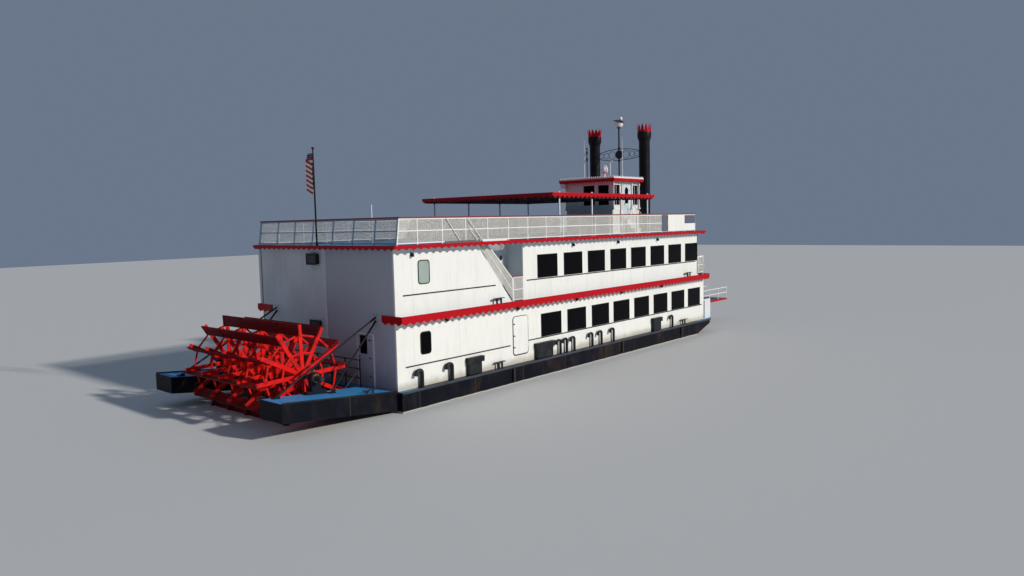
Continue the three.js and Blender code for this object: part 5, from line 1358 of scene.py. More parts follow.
# %% Pilothouse roof, arches and cresting
PILOT_AFT, PILOT_FORE, PILOT_HALF = 18.83, 21.70, 1.63
PILOT_SILL, PILOT_HEAD, PILOT_EAVE = 7.03, 8.18, 8.38
EAVE_AFT, EAVE_FORE, EAVE_HALF = 18.555, 21.71, 1.905
EAVE_TOP, CREST_INSET = 8.545, 0.002
mesh = bmesh.new()
box(mesh, at(EAVE_AFT, -EAVE_HALF, PILOT_EAVE + 0.002), at(EAVE_FORE, EAVE_HALF, PILOT_EAVE + 0.07))
ridge = [(-EAVE_HALF, 0.07), (-EAVE_HALF * 0.5, 0.12), (0.0, 0.14), (EAVE_HALF * 0.5, 0.12), (EAVE_HALF, 0.07)]
plate(mesh, [at(EAVE_AFT, y, PILOT_EAVE + z) for y, z in ridge], (EAVE_FORE - EAVE_AFT, 0, 0))
hem_round(mesh, EAVE_AFT, EAVE_FORE, -EAVE_HALF, EAVE_HALF, EAVE_TOP, 0.13, 0.075, pitch=0.30)
piece("pilothouse_red_roof", mesh, "trim_red", stands_for=["pilothouse_roof"])
mesh = bmesh.new()
hem_round(mesh, EAVE_AFT, EAVE_FORE, CREST_INSET - EAVE_HALF, EAVE_HALF - CREST_INSET, EAVE_TOP, -0.05, -0.085,
          pitch=0.15)
hem_round(mesh, PILOT_AFT - 0.045, PILOT_FORE + 0.005, -PILOT_HALF - 0.005, PILOT_HALF + 0.005, PILOT_EAVE, 0.05,
          0.075, pitch=0.21)
piece("pilothouse_cresting", mesh, "rail_white")

# %% Columns, window frames and panels
PILOT_SIDE_WINDOWS = ((18.96, 19.58), (21.00, 21.56))
PILOT_END_WINDOWS = {-1: ((-1.385, -0.635), (-0.405, 0.405)), 1: ((-1.48, -0.67), (-0.40, 0.40), (0.67, 1.48))}
COLUMN_XS = (18.87, 19.77, 20.82, 21.63)
COLUMN = [(0, 6.85), (0.055, 6.85), (0.055, 6.92), (0.040, 6.95), (0.034, 8.12), (0.05, 8.18), (0.058, 8.24),
          (0.058, 8.29), (0, 8.29)]
# Low and high edge, inset from the window's sides, border, how far it stands proud
PILOT_FRAMES = ((PILOT_SILL, PILOT_HEAD, 0.0, 0.045, 0.018), (5.62, 6.72, 0.02, 0.05, 0.014))


def framed(mesh, place, left, right, outward):
    """The frame of a pilothouse window and of the panel below it. place turns (u, v) into a point on the wall."""
    for low, high, inset, border, proud in PILOT_FRAMES:
        hole = (left + inset, right - inset, low, high)
        outer, inner = ([place(u, v) for u, v in sharp(*rect)] for rect in (grown(hole, border), hole))
        ring_plate(mesh, outer, inner, Vector(outward) * proud)


mesh = bmesh.new()
for side in SIDES.values():
    for x in COLUMN_XS:
        turned(mesh, COLUMN, at(x, side * (PILOT_HALF + 0.055), 0), sides=16)
        box(mesh, at(x - 0.06, side * (PILOT_HALF + 0.001), 6.78), at(x + 0.06, side * (PILOT_HALF + 0.12), 6.85))
    for x0, x1 in PILOT_SIDE_WINDOWS:
        framed(mesh, lambda x, z: at(x, side * PILOT_HALF, z), x0, x1, (0, side, 0))
        middle = (x0 + x1) / 2, side * (PILOT_HALF - 0.045)
        bar(mesh, at(*middle, PILOT_SILL), at(*middle, PILOT_HEAD), (1, 0, 0), 0.022, 0.02)
for outward, windows in PILOT_END_WINDOWS.items():
    wall_x = PILOT_AFT if outward < 0 else PILOT_FORE
    for y0, y1 in windows:
        framed(mesh, lambda y, z: at(wall_x, y, z), y0, y1, (outward, 0, 0))
piece("pilothouse_columns_and_frames", mesh, "rail_white", bevel=0.003)

# %% Pilothouse door light, steps' rails and eave box
LIGHT_LEFT, LIGHT_RIGHT, LIGHT_LOW, LIGHT_SPRING = 20.13, 20.49, 7.12, 7.86
KNOB = [(0, 0), (0.022, 0), (0.022, 0.012), (0.010, 0.02), (0.010, 0.05), (0.026, 0.06), (0.026, 0.085), (0, 0.09)]
STEP_RAILS, STEP_RAIL_OUT, STEP_RAIL_IN = (19.88, 20.80), -2.33, -1.66
mesh = bmesh.new()
half_width = (LIGHT_RIGHT - LIGHT_LEFT) / 2
arch = [(LIGHT_LEFT + half_width + half_width * math.cos(a), LIGHT_SPRING + 0.20 * math.sin(a))
        for a in (math.pi * i / 12 for i in range(13))]
outline = [(LIGHT_LEFT, LIGHT_LOW), (LIGHT_RIGHT, LIGHT_LOW), *arch]
plate(mesh, [at(x, -PILOT_HALF - 0.0075, z) for x, z in outline], (0, -0.004, 0))
piece("pilothouse_door_light", mesh, "tinted_glass", body="pilothouse_door")
mesh = bmesh.new()
turned(mesh, KNOB, at(20.09, -PILOT_HALF - 0.006, 7.10), (0, -1, 0), 16)
piece("pilothouse_door_knob", mesh, "bronze", "fitting_black", body="pilothouse_door")
mesh = bmesh.new()
for x in STEP_RAILS:
    tube(mesh, bend([at(x, STEP_RAIL_OUT, ROOF + 0.001), at(x, STEP_RAIL_OUT, ROOF + 1.15),
                     at(x, STEP_RAIL_IN, ROOF + 1.72)], 0.10), 0.017, 10)
    tube(mesh, [at(x, -1.97, ROOF + 0.001), at(x, -1.97, ROOF + 1.44)], 0.014, 8)
box(mesh, at(18.58, 1.55, 8.10), at(18.80, 1.88, 8.34))
piece("pilothouse_step_rails", mesh, "rail_white", bevel=0.002)

# %% [markdown]
# On the pilothouse roof and behind it stand thin aerials, a radar dome on a short post, and a pole with two lights.

# %% Aerials and radar
AERIAL_X, ROOF_SEAT = 20.0, 8.44
AERIALS = ((-1.57, 10.95), (1.125, 10.98))
RADAR = [(0, 8.44), (0.10, 8.44), (0.07, 8.50), (0.05, 8.62), (0.05, 8.90), (0.15, 8.96), (0.19, 9.02),
         (0.20, 9.12), (0.185, 9.24), (0.14, 9.34), (0.07, 9.39), (0, 9.41)]
SIGNAL_Y = 0.925
SIGNAL = ((0, 0), (0.06, 0), (0.075, 0.02), (0.055, 0.05), (0.055, 0.14), (0.075, 0.17), (0, 0.20))
mesh = bmesh.new()
box(mesh, at(AERIAL_X - 0.03, -1.62, 8.522), at(AERIAL_X + 0.03, 1.18, 8.56))
for y in (-1.55, 1.10):
    box(mesh, at(AERIAL_X - 0.05, y - 0.05, 8.455), at(AERIAL_X + 0.05, y + 0.05, 8.53))
for y, top in AERIALS:
    tube(mesh, [at(AERIAL_X, y, z) for z in (ROOF_SEAT, 8.9, 9.9, top)], [0.022, 0.020, 0.014, 0.008], 8)
    turned(mesh, [(0, 8.43), (0.06, 8.43), (0.06, 8.50), (0.03, 8.53), (0, 8.53)], at(AERIAL_X, y, 0), sides=12)
tube(mesh, [at(AERIAL_X, -0.735, ROOF_SEAT), at(AERIAL_X, -0.735, 9.62)], 0.026, 10)
tube(mesh, [at(AERIAL_X, -0.90, 9.62), at(AERIAL_X, -0.57, 9.62)], 0.026, 10)
turned(mesh, RADAR, at(AERIAL_X, -0.325, 0), sides=32)
piece("aerials_and_radar", mesh, "lamp_white", "rail_white", stands_for=["pilothouse_aerials"])
mesh = bmesh.new()
tube(mesh, [at(AERIAL_X, SIGNAL_Y, ROOF_SEAT), at(AERIAL_X, SIGNAL_Y, 10.45)], [0.030, 0.024], 10)
for z in (9.72, 10.12):
    turned(mesh, [(radius, z + up) for radius, up in SIGNAL], at(AERIAL_X, SIGNAL_Y, 0), sides=16)
turned(mesh, [(0, 10.42), (0.05, 10.42), (0.05, 10.50), (0, 10.52)], at(AERIAL_X, SIGNAL_Y, 0), sides=14)
piece("signal_pole", mesh, "fitting_black")

# %% [markdown]
# ## Stair recess
#
# The outside stair is cut into the starboard side. A sloping balustrade stands in the wall's plane, with wire mesh
# in it, and goes on as a handrail on the roof. A low mesh panel closes the landing's outer edge.

# %% Balustrade and landing panel
# Places (x, z) in the wall's plane: the handrail's ends and the wire mesh's lower edge
RAIL_FOOT, RAIL_HEAD = Vector((6.62, 3.76)), Vector((5.10, 5.27))
SKIRT_FOOT, SKIRT_HEAD = Vector((6.62, 2.82)), Vector((4.54, 5.27))
PANEL_AFT, PANEL_FORE, PANEL_LOW, PANEL_HIGH = 6.70, 7.33, SECOND + 0.09, 3.76
# (x, z) of each end of the pipes outside the roof railing
SLANTED_PIPES = ((3.569, 6.364, 4.424, 5.452), (3.662, 5.956, 4.135, 5.461), (2.406, 6.376, 3.136, 5.494))


def wall_point(x, z):
    return at(x, -WALL_Y + 0.03, z)


def wall_bar(mesh, x0, z0, x1, z1, towards, width, thick):
    bar(mesh, wall_point(x0, z0), wall_point(x1, z1), towards, width, thick)


def wall_wire(mesh, x0, z0, x1, z1, towards=(1, 0, 0)):
    wall_bar(mesh, x0, z0, x1, z1, towards, WIRE_WIDTH, WIRE_WIDTH)


bars, wires, cap = bmesh.new(), bmesh.new(), bmesh.new()
wall_bar(bars, 6.64, SECOND, 6.64, 3.76, (1, 0, 0), 0.05, 0.05)
wall_bar(bars, *RAIL_FOOT, *RAIL_HEAD, (0, 1, 0), 0.04, 0.05)
wall_bar(bars, 6.62, 3.25, 4.82, 5.27, (0, 1, 0), 0.03, 0.03)
for count, first, last in ((44, (SKIRT_FOOT, SKIRT_HEAD), (RAIL_FOOT, RAIL_HEAD)),
                           (22, (SKIRT_FOOT, RAIL_FOOT), (SKIRT_HEAD, RAIL_HEAD))):
    for i in range(1, count):
        wall_wire(wires, *first[0].lerp(first[1], i / count), *last[0].lerp(last[1], i / count))
for x in (PANEL_AFT, PANEL_FORE):
    wall_bar(bars, x, SECOND, x, 3.80, (1, 0, 0), 0.04, 0.04)
for z in (PANEL_LOW, 3.25, 3.78):
    wall_bar(bars, 6.68, z, 7.345, z, UP, 0.035, 0.035)
wall_bar(cap, 6.66, 3.81, 7.345, 3.81, (0, 1, 0), 0.06, 0.018)
for i in range(1, 20):
    x = PANEL_AFT + i * (PANEL_FORE - PANEL_AFT) / 20
    wall_wire(wires, x, PANEL_LOW, x, PANEL_HIGH)
for i in range(1, 32):
    z = PANEL_LOW + i * 0.96 / 32
    wall_wire(wires, PANEL_AFT, z, PANEL_FORE, z, UP)
tube(bars, bend([wall_point(4.84, ROOF + 0.02), wall_point(3.86, 6.40), wall_point(3.70, 6.40)], 0.08), 0.018, 10)
tube(bars, [wall_point(4.30, ROOF), wall_point(4.30, 5.97)], 0.016, 8)
for x0, z0, x1, z1 in SLANTED_PIPES:
    tube(bars, [at(x0, RAIL_FACE - 0.020, z0), at(x1, RAIL_FACE - 0.020, z1)], 0.017, 8)
piece("stair_balustrade", bars, "rail_white", bevel=0.002, stands_for=["stair_railing"])
piece("stair_mesh", wires, "mesh_white", "rail_white")
piece("landing_cap", cap, "trim_red", bevel=0.002)

# %% [markdown]
# ## Paddle wheel
#
# Five spider frames sit on one tube. Each has twelve arms on a flanged hub, a heavy inner ring and a thin outer ring.
# Every board is a pair of planks, held behind the arms by straps and bolts.

# %% Wheel frames
WHEEL_X, WHEEL_Z = -2.75, 0.86
WHEEL_FRAMES = (-2.5, -1.25, 0.0, 1.25, 2.5)
WHEEL_HALF = 2.6
ARM_ANGLES = [math.radians(2 + i * 30) for i in range(12)]
ARM_HALF, ARM_ENDS, ARM_EDGES = 0.0305, (0.16, 1.85), (-0.075, 0.075)
TUBE_RADIUS, TUBE_BORE = 0.150, 0.0935
# Outer and inner radius, half the width
FLANGES = ((0.30, 0.12, 0.030), (0.205, 0.12, 0.046))
INNER_RING = (0.885, 0.815, 0.026)
ROUND = [2 * math.pi * i / 40 for i in range(40)]


def on_wheel(angle, radial, y, across=0.0):
    """A point on the wheel: so far out along an arm, and so far to the side of the arm's middle line."""
    return at(WHEEL_X + radial * math.cos(angle) - across * math.sin(angle), y,
              WHEEL_Z + radial * math.sin(angle) + across * math.cos(angle))


def wheel_bar(mesh, angle, radial, y, across):
    """A square bar on the wheel between two values of each distance."""
    section = ((y[0], across[0]), (y[1], across[0]), (y[1], across[1]), (y[0], across[1]))
    skin(mesh, [corners(mesh, [on_wheel(angle, r, v, w) for v, w in section]) for r in radial])


def wheel_ring(mesh, outer, inner, y, width, turns=ARM_ANGLES):
    ring_plate(mesh, [on_wheel(a, outer, y) for a in turns], [on_wheel(a, inner, y) for a in turns], (0, width, 0))


def bolt(mesh, place, axis, radius=0.022):
    turned(mesh, [(0, -0.004), (radius, -0.004), (radius, 0.011), (radius * 0.8, 0.015), (0, 0.015)],
           place, axis, 6)


mesh, bolts = bmesh.new(), bmesh.new()
wheel_ring(mesh, TUBE_RADIUS, TUBE_BORE, -WHEEL_HALF, 2 * WHEEL_HALF, ROUND)
for y in WHEEL_FRAMES:
    for outer, inner, half_width in FLANGES:
        wheel_ring(mesh, outer, inner, y - half_width, 2 * half_width, ROUND)
    outer, inner, half_width = INNER_RING
    wheel_ring(mesh, outer, inner, y - half_width, 2 * half_width)
    for angle in ARM_ANGLES:
        wheel_bar(mesh, angle, ARM_ENDS, (y - ARM_HALF, y + ARM_HALF), ARM_EDGES)
        for face in (-1, 1):
            for across in (-0.040, 0.040):
                bolt(bolts, on_wheel(angle, 0.85, y + face * ARM_HALF, across), (0, face, 0))
            bolt(bolts, on_wheel(angle + math.pi / 12, 0.26, y + face * 0.030), (0, face, 0), 0.017)
        bolt(bolts, on_wheel(angle, 1.475, y + 0.050), (0, 1, 0))
piece("wheel_spiders", mesh, "wheel_red", body="paddle_wheel", bevel=0.006, stands_for=["wheel_frames"])
piece("wheel_bolts", bolts, "wheel_red", body="paddle_wheel")

# %% Boards and outer rings
PLANKS, PLANK_FACES = ((1.461, 1.666), (1.674, 1.879)), (0.0755, 0.1255)
STRAP_ENDS, STRAP_HALF, STRAP_FACES = (1.525, 1.845), 0.028, (0.1258, 0.1335)
mesh, straps, rings = bmesh.new(), bmesh.new(), bmesh.new()
for angle in ARM_ANGLES:
    tangent = (-math.sin(angle), 0, math.cos(angle))
    for radial in PLANKS:
        wheel_bar(mesh, angle, radial, (-WHEEL_HALF, WHEEL_HALF), PLANK_FACES)
    for y in WHEEL_FRAMES:
        wheel_bar(straps, angle, STRAP_ENDS, (y - STRAP_HALF, y + STRAP_HALF), STRAP_FACES)
        for radial in (1.57, 1.80):
            bolt(straps, on_wheel(angle, radial, y, STRAP_FACES[1]), tangent, 0.019)
for y in WHEEL_FRAMES:
    wheel_ring(rings, 1.510, 1.440, y + 0.031, 0.019)
piece("wheel_planks", mesh, "board_red", body="paddle_wheel", bevel=0.005, stands_for=["wheel_boards"])
piece("wheel_straps", straps, "board_red", body="paddle_wheel")
piece("wheel_outer_rings", rings, "wheel_red", body="paddle_wheel")

# %% [markdown]
# The shaft is bright only where it has been wiped. Bronze collars keep it from wandering sideways, and the pedestals
# carry bronze liners, grease cups and the bolts of their caps and feet.

# %% Shaft and bearings
AXLE = [(0, -3.70), (0.074, -3.70), (0.09, -3.684), (0.09, 3.684), (0.074, 3.70), (0, 3.70)]
COLLARS = ((3.324, 3.370, 0.125), (3.62, 3.66, 0.105))
GREASE_CUP = [(0, 0), (0.026, 0), (0.026, 0.030), (0.040, 0.040), (0.040, 0.085), (0, 0.098)]
BEARING_Y = 3.2
mesh, collars, liners, bolts = bmesh.new(), bmesh.new(), bmesh.new(), bmesh.new()
turned(mesh, AXLE, at(WHEEL_X, 0, WHEEL_Z), (0, 1, 0), 40)
for side in SIDES.values():
    y = side * BEARING_Y
    for near, far, radius in COLLARS:
        wheel_ring(collars, radius, 0.0925, side * near, side * (far - near), ROUND)
    wheel_ring(liners, 0.150, 0.0945, side * 3.3105, side * 0.006, ROUND)
    turned(liners, GREASE_CUP, at(WHEEL_X, y, WHEEL_Z + 0.208), sides=16)
    for x in (WHEEL_X - 0.33, WHEEL_X + 0.33):
        for step in (-0.065, 0.065):
            bolt(bolts, at(x, y + step, wing_top(WHEEL_X) + 0.133), UP, 0.028)
    for x in (WHEEL_X - 0.165, WHEEL_X + 0.165):
        bar(bolts, at(x, y, WHEEL_Z + 0.02), at(x, y, WHEEL_Z + 0.06), (0, 1, 0), 0.17, 0.07)
        bolt(bolts, at(x, y, WHEEL_Z + 0.062), UP, 0.030)
piece("wheel_axle", mesh, "steel_dark", body="paddle_wheel", stands_for=["wheel_shaft"])
piece("shaft_collars", collars, "steel_dark", body="paddle_wheel", bevel=0.004)
piece("bearing_liners_and_cups", liners, "bronze", "steel_dark")
piece("bearing_bolts", bolts, "fitting_black", bevel=0.003)

# %% [markdown]
# ## Stern wall and walkway
#
# The stern wall is plain plate: a door with a small dark window, a joint cover down the middle with a conduit beside
# it, and two floodlights. A pipe railing guards the walkway between wall and wheel.

# %% Stern door, joint cover and port corner
DOOR_LOW, DOOR_HIGH, DOOR_TOP = -3.085, -2.195, 1.99
FRAME_TOP, WALL_GAP = DOOR_TOP + 0.06, 0.0015
# How far aft, then the box's y and z from low to high
DOOR_FRAME = ((0.022, DOOR_LOW - 0.095, DOOR_LOW - 0.006, 0.004, FRAME_TOP),
              (0.022, DOOR_HIGH + 0.006, DOOR_HIGH + 0.05, 0.004, FRAME_TOP),
              (0.022, DOOR_LOW - 0.006, DOOR_HIGH + 0.006, DOOR_TOP + 0.006, FRAME_TOP),
              (0.075, DOOR_LOW - 0.12, DOOR_HIGH + 0.08, DOOR_TOP + 0.062, DOOR_TOP + 0.076),
              *((0.054, -0.335, -0.255, z, z + 0.04) for z in (0.5, 1.3, 2.1, 2.9)))
LEAF_FACE = boat_x(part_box("stern_door")[0].x)
mesh = bmesh.new()
for out, y0, y1, z0, z1 in DOOR_FRAME:
    box(mesh, at(-out, y0, z0), at(-WALL_GAP, y1, z1))
tube(mesh, [at(-0.028, -0.295, 0.12), at(-0.028, -0.295, 3.20)], 0.022, 12)
piece("stern_door_frame_and_conduit", mesh, "rail_white", bevel=0.003)
mesh = bmesh.new()
box(mesh, at(-0.006, -0.32, 3.22), at(-0.001, -0.27, 5.10))
for y in (-1.48, 1.48, 2.95):
    box(mesh, at(-0.0035, y - 0.03, 0.06), at(-0.001, y + 0.03, 5.10))
# The joint covers get the stern wall's white with painted shade.
piece("stern_joint_covers", mesh, "stern_white_painted_shade", "house_white", bevel=0.001)
mesh = bmesh.new()
box(mesh, at(0.0, WALL_Y + 0.006, SECOND + 0.094), at(0.07, WALL_Y + 0.19, ROOF - 0.10))
# The port pilaster gets the same white with painted shade.
piece("port_corner_pilaster", mesh, "stern_white_painted_shade", "house_white", bevel=0.006)
mesh = bmesh.new()
box(mesh, at(-0.007, WALL_Y - 0.055, 0.01), at(-0.001, WALL_Y - 0.005, ROOF - 0.10))
piece("port_corner_seal", mesh, "rubber_black", "fitting_black", bevel=0.001)

# %% Door window, dogs and handle
DOOR_WINDOW = (-2.71, -2.36, 1.29, 1.94)
HANDLE_Y, HANDLE_OUT = -2.30, 0.05
mesh = bmesh.new()
low_y, high_y, low_z, high_z = DOOR_WINDOW
box(mesh, at(LEAF_FACE - 0.004, low_y, low_z), at(LEAF_FACE + 0.004, high_y, high_z))
piece("stern_door_window", mesh, "tinted_glass", body="stern_door")
mesh = bmesh.new()
ring_plate(mesh, on_end(LEAF_FACE, -0.0005, sharp(*grown(DOOR_WINDOW, 0.03))),
           on_end(LEAF_FACE, -0.0005, sharp(*DOOR_WINDOW)), (-0.010, 0, 0))
for z in (0.39, 1.09, 1.79):
    tube(mesh, [at(LEAF_FACE - 0.014, -3.02, z), at(LEAF_FACE - 0.014, -2.87, z + 0.02)], 0.013, 8)
    turned(mesh, [(0, 0), (0.03, 0), (0.03, 0.012), (0.014, 0.024), (0, 0.026)],
           at(LEAF_FACE - 0.0005, -2.87, z + 0.02), (-1, 0, 0), 14)
handle = [at(LEAF_FACE - out, HANDLE_Y, z)
          for out, z in ((0.001, 0.98), (HANDLE_OUT, 0.98), (HANDLE_OUT, 1.16), (0.001, 1.16))]
tube(mesh, bend(handle, 0.02), 0.010, 8)
piece("stern_door_dogs_and_handle", mesh, "rubber_black", "fitting_black", body="stern_door")

# %% Floodlights
# Edges (y, z) and how deep it is
FLOODLIGHTS = (((0.105, 0.765, 4.645, 5.07), 0.17), ((0.105, 0.765, 2.10, 2.36), 0.12))
BRACKET, FLOOD_RIM, FINS = 0.03, 0.07, 5
mesh, faces = bmesh.new(), bmesh.new()
for edges, deep in FLOODLIGHTS:
    low, high, bottom, top = edges
    box(mesh, at(-deep, low, bottom), at(-BRACKET, high, top))
    box(mesh, at(-BRACKET, low + 0.16, bottom + 0.06), at(-WALL_GAP, high - 0.16, top - 0.06))
    ring_plate(mesh, on_end(-deep, 0.001, sharp(*grown(edges, 0.02))),
               on_end(-deep, 0.001, sharp(*grown(edges, -FLOOD_RIM))), (-0.016, 0, 0))
    low_y, high_y, low_z, high_z = grown(edges, -FLOOD_RIM)
    box(faces, at(-deep - 0.006, low_y, low_z), at(-deep + 0.002, high_y, high_z))
    for fin in range(FINS):
        z = bottom + 0.04 + fin * (top - bottom - 0.08) / (FINS - 1)
        for inner, outer in ((high - 0.002, high + 0.016), (low - 0.016, low + 0.002)):
            box(mesh, at(-deep + 0.03, inner, z - 0.005), at(-0.04, outer, z + 0.005))
piece("stern_floodlights", mesh, "fitting_black", bevel=0.003)
piece("stern_floodlight_faces", faces, "steel_dark")

# %% Walkway railing and edge
WALK_X, WALK_END, WALK_TOP = -0.36, 2.7, 1.07
WALK_POSTS = (-WALK_END, -1.8, -0.9, 0.0, 0.9, 1.8, WALK_END)
BRACE_X, BRACE_Y = -1.12, 2.735
WALKWAY_AFT = boat_x(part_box("main_deck")[0].x)
mesh = bmesh.new()
for y in WALK_POSTS:
    foot = wing_top(WALK_X) + 0.0065 if abs(y) > WING_FORE_INNER else 0.001
    tube(mesh, [at(WALK_X, y, foot), at(WALK_X, y, WALK_TOP)], 0.025, 14)
    turned(mesh, [(0, 0), (0.055, 0), (0.055, 0.010), (0.03, 0.020), (0, 0.020)], at(WALK_X, y, foot), sides=18)
    turned(mesh, [(0, -0.032), (0.032, -0.030), (0.032, 0.030), (0, 0.032)], at(WALK_X, y, WALK_TOP), sides=14)
for z in (0.38, 0.73, WALK_TOP):
    tube(mesh, [at(WALK_X, -WALK_END, z), at(WALK_X, WALK_END, z)], 0.022, 12)
piece("walkway_railing", mesh, "fitting_black", stands_for=["walkway_rail"])
mesh = bmesh.new()
for side in SIDES.values():
    y = side * BRACE_Y
    foot = wing_top(BRACE_X)
    tube(mesh, [at(WALK_X, side * 2.705, 0.78), at(BRACE_X, y, foot + 0.012)], 0.014, 10)
    turned(mesh, [(0, 0), (0.035, 0), (0.035, 0.010), (0, 0.014)], at(BRACE_X, y, foot + 0.006), sides=14)
box(mesh, at(WALKWAY_AFT - 0.008, -2.52, -0.085), at(WALKWAY_AFT - 0.001, 2.52, 0.004))
piece("walkway_braces_and_edge", mesh, "edge_grey", "rail_white", bevel=0.001)

# %% Stays
STAY_Y = 3.34
# Height on the wall, place of the foot on the wing
STAYS = ((2.72, -4.40), (2.59, -2.15))
STAY_LUG = ((-0.02, 0.03), (0.16, 0.03), (0.22, 0.14))
mesh, pads = bmesh.new(), bmesh.new()
for side in SIDES.values():
    y = side * STAY_Y
    box(pads, at(-0.030, y - 0.12, 2.53), at(-0.0005, y + 0.12, 2.85))
    for head, foot in STAYS:
        rise = wing_top(foot)
        tube(mesh, [at(-0.02, y, head), at(foot, y, rise + 0.04)], 0.036, 18)
        ground = [at(foot + dx, y - 0.09, wing_top(foot + dx) + 0.006) for dx in (-0.13, 0.13)]
        plate(mesh, [*ground, *(p + Vector((0, 0, 0.038)) for p in reversed(ground))], (0, 0.18, 0))
        plate(mesh, [at(foot + dx, y - 0.006, rise + up) for dx, up in STAY_LUG], (0, 0.012, 0))
        for dx in (-0.10, 0.10):
            for dy in (-0.065, 0.065):
                bolt(mesh, at(foot + dx, y + dy, rise + 0.045), UP, 0.016)
    for dy in (-0.09, 0.09):
        for z in (2.57, 2.80):
            bolt(mesh, at(-0.0305, y + dy, z), (-1, 0, 0), 0.017)
piece("stay_tubes", mesh, "stay_black", bevel=0.002, stands_for=["stay_starboard", "stay_port"])
# The pads get the stern wall's white with painted shade, so they read as part of the shaded wall.
piece("stay_pads", pads, "stern_white_painted_shade", "stay_black", bevel=0.002)

# %% [markdown]
# ## Bow and landing stage
#
# The bulwark gets a rounded cap and stiffeners inside. The stage is a red frame with grey planks and white pipe rails,
# hinged on the bulwark's pin.

# %% Bulwark cap, stiffeners and painted gap shade
BULWARK_AFT, BULWARK_FORE, BULWARK_TOP = 24.51, 25.40, 1.15
CAP_RADIUS, CAP_RISE = 0.036, BULWARK_TOP + 0.012
SIDE_STIFFENERS, BOW_STIFFENERS = (24.75, 25.10), (-0.78, 0.5, 1.4, 2.3, 3.2)
# Each stiffener's outline: how far inboard of the bulwark, and its height
STIFFENER = ((0.052, 0.002), (0.052, 0.95), (0.12, 0.85), (0.30, 0.002))
CORNER_GAP_SHADES = ((24.515, 24.62, 0.03, 1.12), (UPPER_FORE - 0.10, UPPER_FORE - 0.02, SECOND + 0.10, ROOF - 0.15))
mesh = bmesh.new()
for side in SIDES.values():
    y = side * (WALL_Y - 0.025)
    tube(mesh, [at(BULWARK_AFT, y, CAP_RISE), at(BULWARK_FORE - 0.03, y, CAP_RISE)], CAP_RADIUS, 14)
    for x in SIDE_STIFFENERS:
        plate(mesh, [at(x, side * (WALL_Y - inboard), z) for inboard, z in STIFFENER], (0.010, 0, 0))
for low, high in ((-WALL_Y + 0.02, -3.11), (-1.18, WALL_Y - 0.02)):
    tube(mesh, [at(BULWARK_FORE - 0.025, y, CAP_RISE) for y in (low, high)], CAP_RADIUS, 14)
for y in BOW_STIFFENERS:
    plate(mesh, [at(BULWARK_FORE - inboard, y, z) for inboard, z in STIFFENER], (0, 0.010, 0))
piece("bulwark_cap_and_stiffeners", mesh, "bulwark_white", "house_white", bevel=0.002)
# Thin black strips on the walls at their fore ends stand for the dark gaps beside the bulwark and the railing: painted
# shade.
mesh = bmesh.new()
for side in SIDES.values():
    for x0, x1, z0, z1 in CORNER_GAP_SHADES:
        box(mesh, at(x0, side * (WALL_Y + 0.0005), z0), at(x1, side * (WALL_Y + 0.005), z1))
piece("bow_corner_gap_shade", mesh, "rubber_black", "fitting_black", bevel=0.001)

# %% Landing stage
STAGE_AFT, STAGE_FORE, STAGE_LOW, STAGE_HIGH, STAGE_Z = 25.48, 31.0, -2.945, -1.345, 0.59
STAGE_PIN_X, PIN_RADIUS, PIN_BORE = 25.42, 0.055, 0.0275
CROSS_BARS, PLANK_COUNT, PLANK_WIDTH = 7, 36, 0.146
PLANKS_AFT = STAGE_AFT + 0.03
STAGE_POSTS, STAGE_RAILS, END_POST_TOP = (25.98, 27.22, 28.46, 29.70, 30.96), (0.45, 0.80), 0.86
mesh = bmesh.new()
for edge, inward in ((STAGE_LOW, 1), (STAGE_HIGH, -1)):
    box(mesh, at(STAGE_AFT, edge, STAGE_Z - 0.05), at(STAGE_FORE, edge + inward * 0.012, STAGE_Z + 0.06))
    for z in (STAGE_Z - 0.05, STAGE_Z + 0.048):
        box(mesh, at(STAGE_AFT, edge + inward * 0.011, z), at(STAGE_FORE, edge + inward * 0.07, z + 0.012))
for i in range(CROSS_BARS):
    x = STAGE_AFT + i * (STAGE_FORE - STAGE_AFT - 0.05) / (CROSS_BARS - 1)
    box(mesh, at(x, STAGE_LOW + 0.011, STAGE_Z - 0.045), at(x + 0.05, STAGE_HIGH - 0.011, STAGE_Z + 0.018))
pin, bore = ([at(STAGE_PIN_X + radius * math.cos(a), STAGE_LOW, STAGE_Z + radius * math.sin(a)) for a in ROUND]
             for radius in (PIN_RADIUS, PIN_BORE))
ring_plate(mesh, pin, bore, (0, STAGE_HIGH - STAGE_LOW, 0))
box(mesh, at(25.468, STAGE_LOW, STAGE_Z - 0.04), at(PLANKS_AFT, STAGE_HIGH, STAGE_Z + 0.04))
piece("stage_frame", mesh, "trim_red", body="landing_stage", bevel=0.003, stands_for=["landing_stage"])
mesh = bmesh.new()
for i in range(PLANK_COUNT):
    x = PLANKS_AFT + i * (STAGE_FORE - PLANKS_AFT) / PLANK_COUNT
    box(mesh, at(x, STAGE_LOW + 0.0125, STAGE_Z + 0.0185),
        at(x + PLANK_WIDTH, STAGE_HIGH - 0.0125, STAGE_Z + 0.0475))
piece("stage_planks", mesh, "grating_grey", "inner_grey", body="landing_stage", bevel=0.002)
mesh = bmesh.new()
for y in (STAGE_LOW + 0.04, STAGE_HIGH - 0.04):
    for x in STAGE_POSTS:
        top = STAGE_Z + (END_POST_TOP if x in (STAGE_POSTS[0], STAGE_POSTS[-1]) else STAGE_RAILS[-1])
        tube(mesh, [at(x, y, STAGE_Z + 0.058), at(x, y, top)], 0.024, 12)
        turned(mesh, [(0, 0), (0.036, 0), (0.036, 0.012), (0, 0.016)], at(x, y, STAGE_Z + 0.0605), sides=14)
    for up in STAGE_RAILS:
        tube(mesh, [at(25.95, y, STAGE_Z + up), at(30.985, y, STAGE_Z + up)], 0.027, 12)
piece("stage_rails", mesh, "rail_white", body="landing_stage")

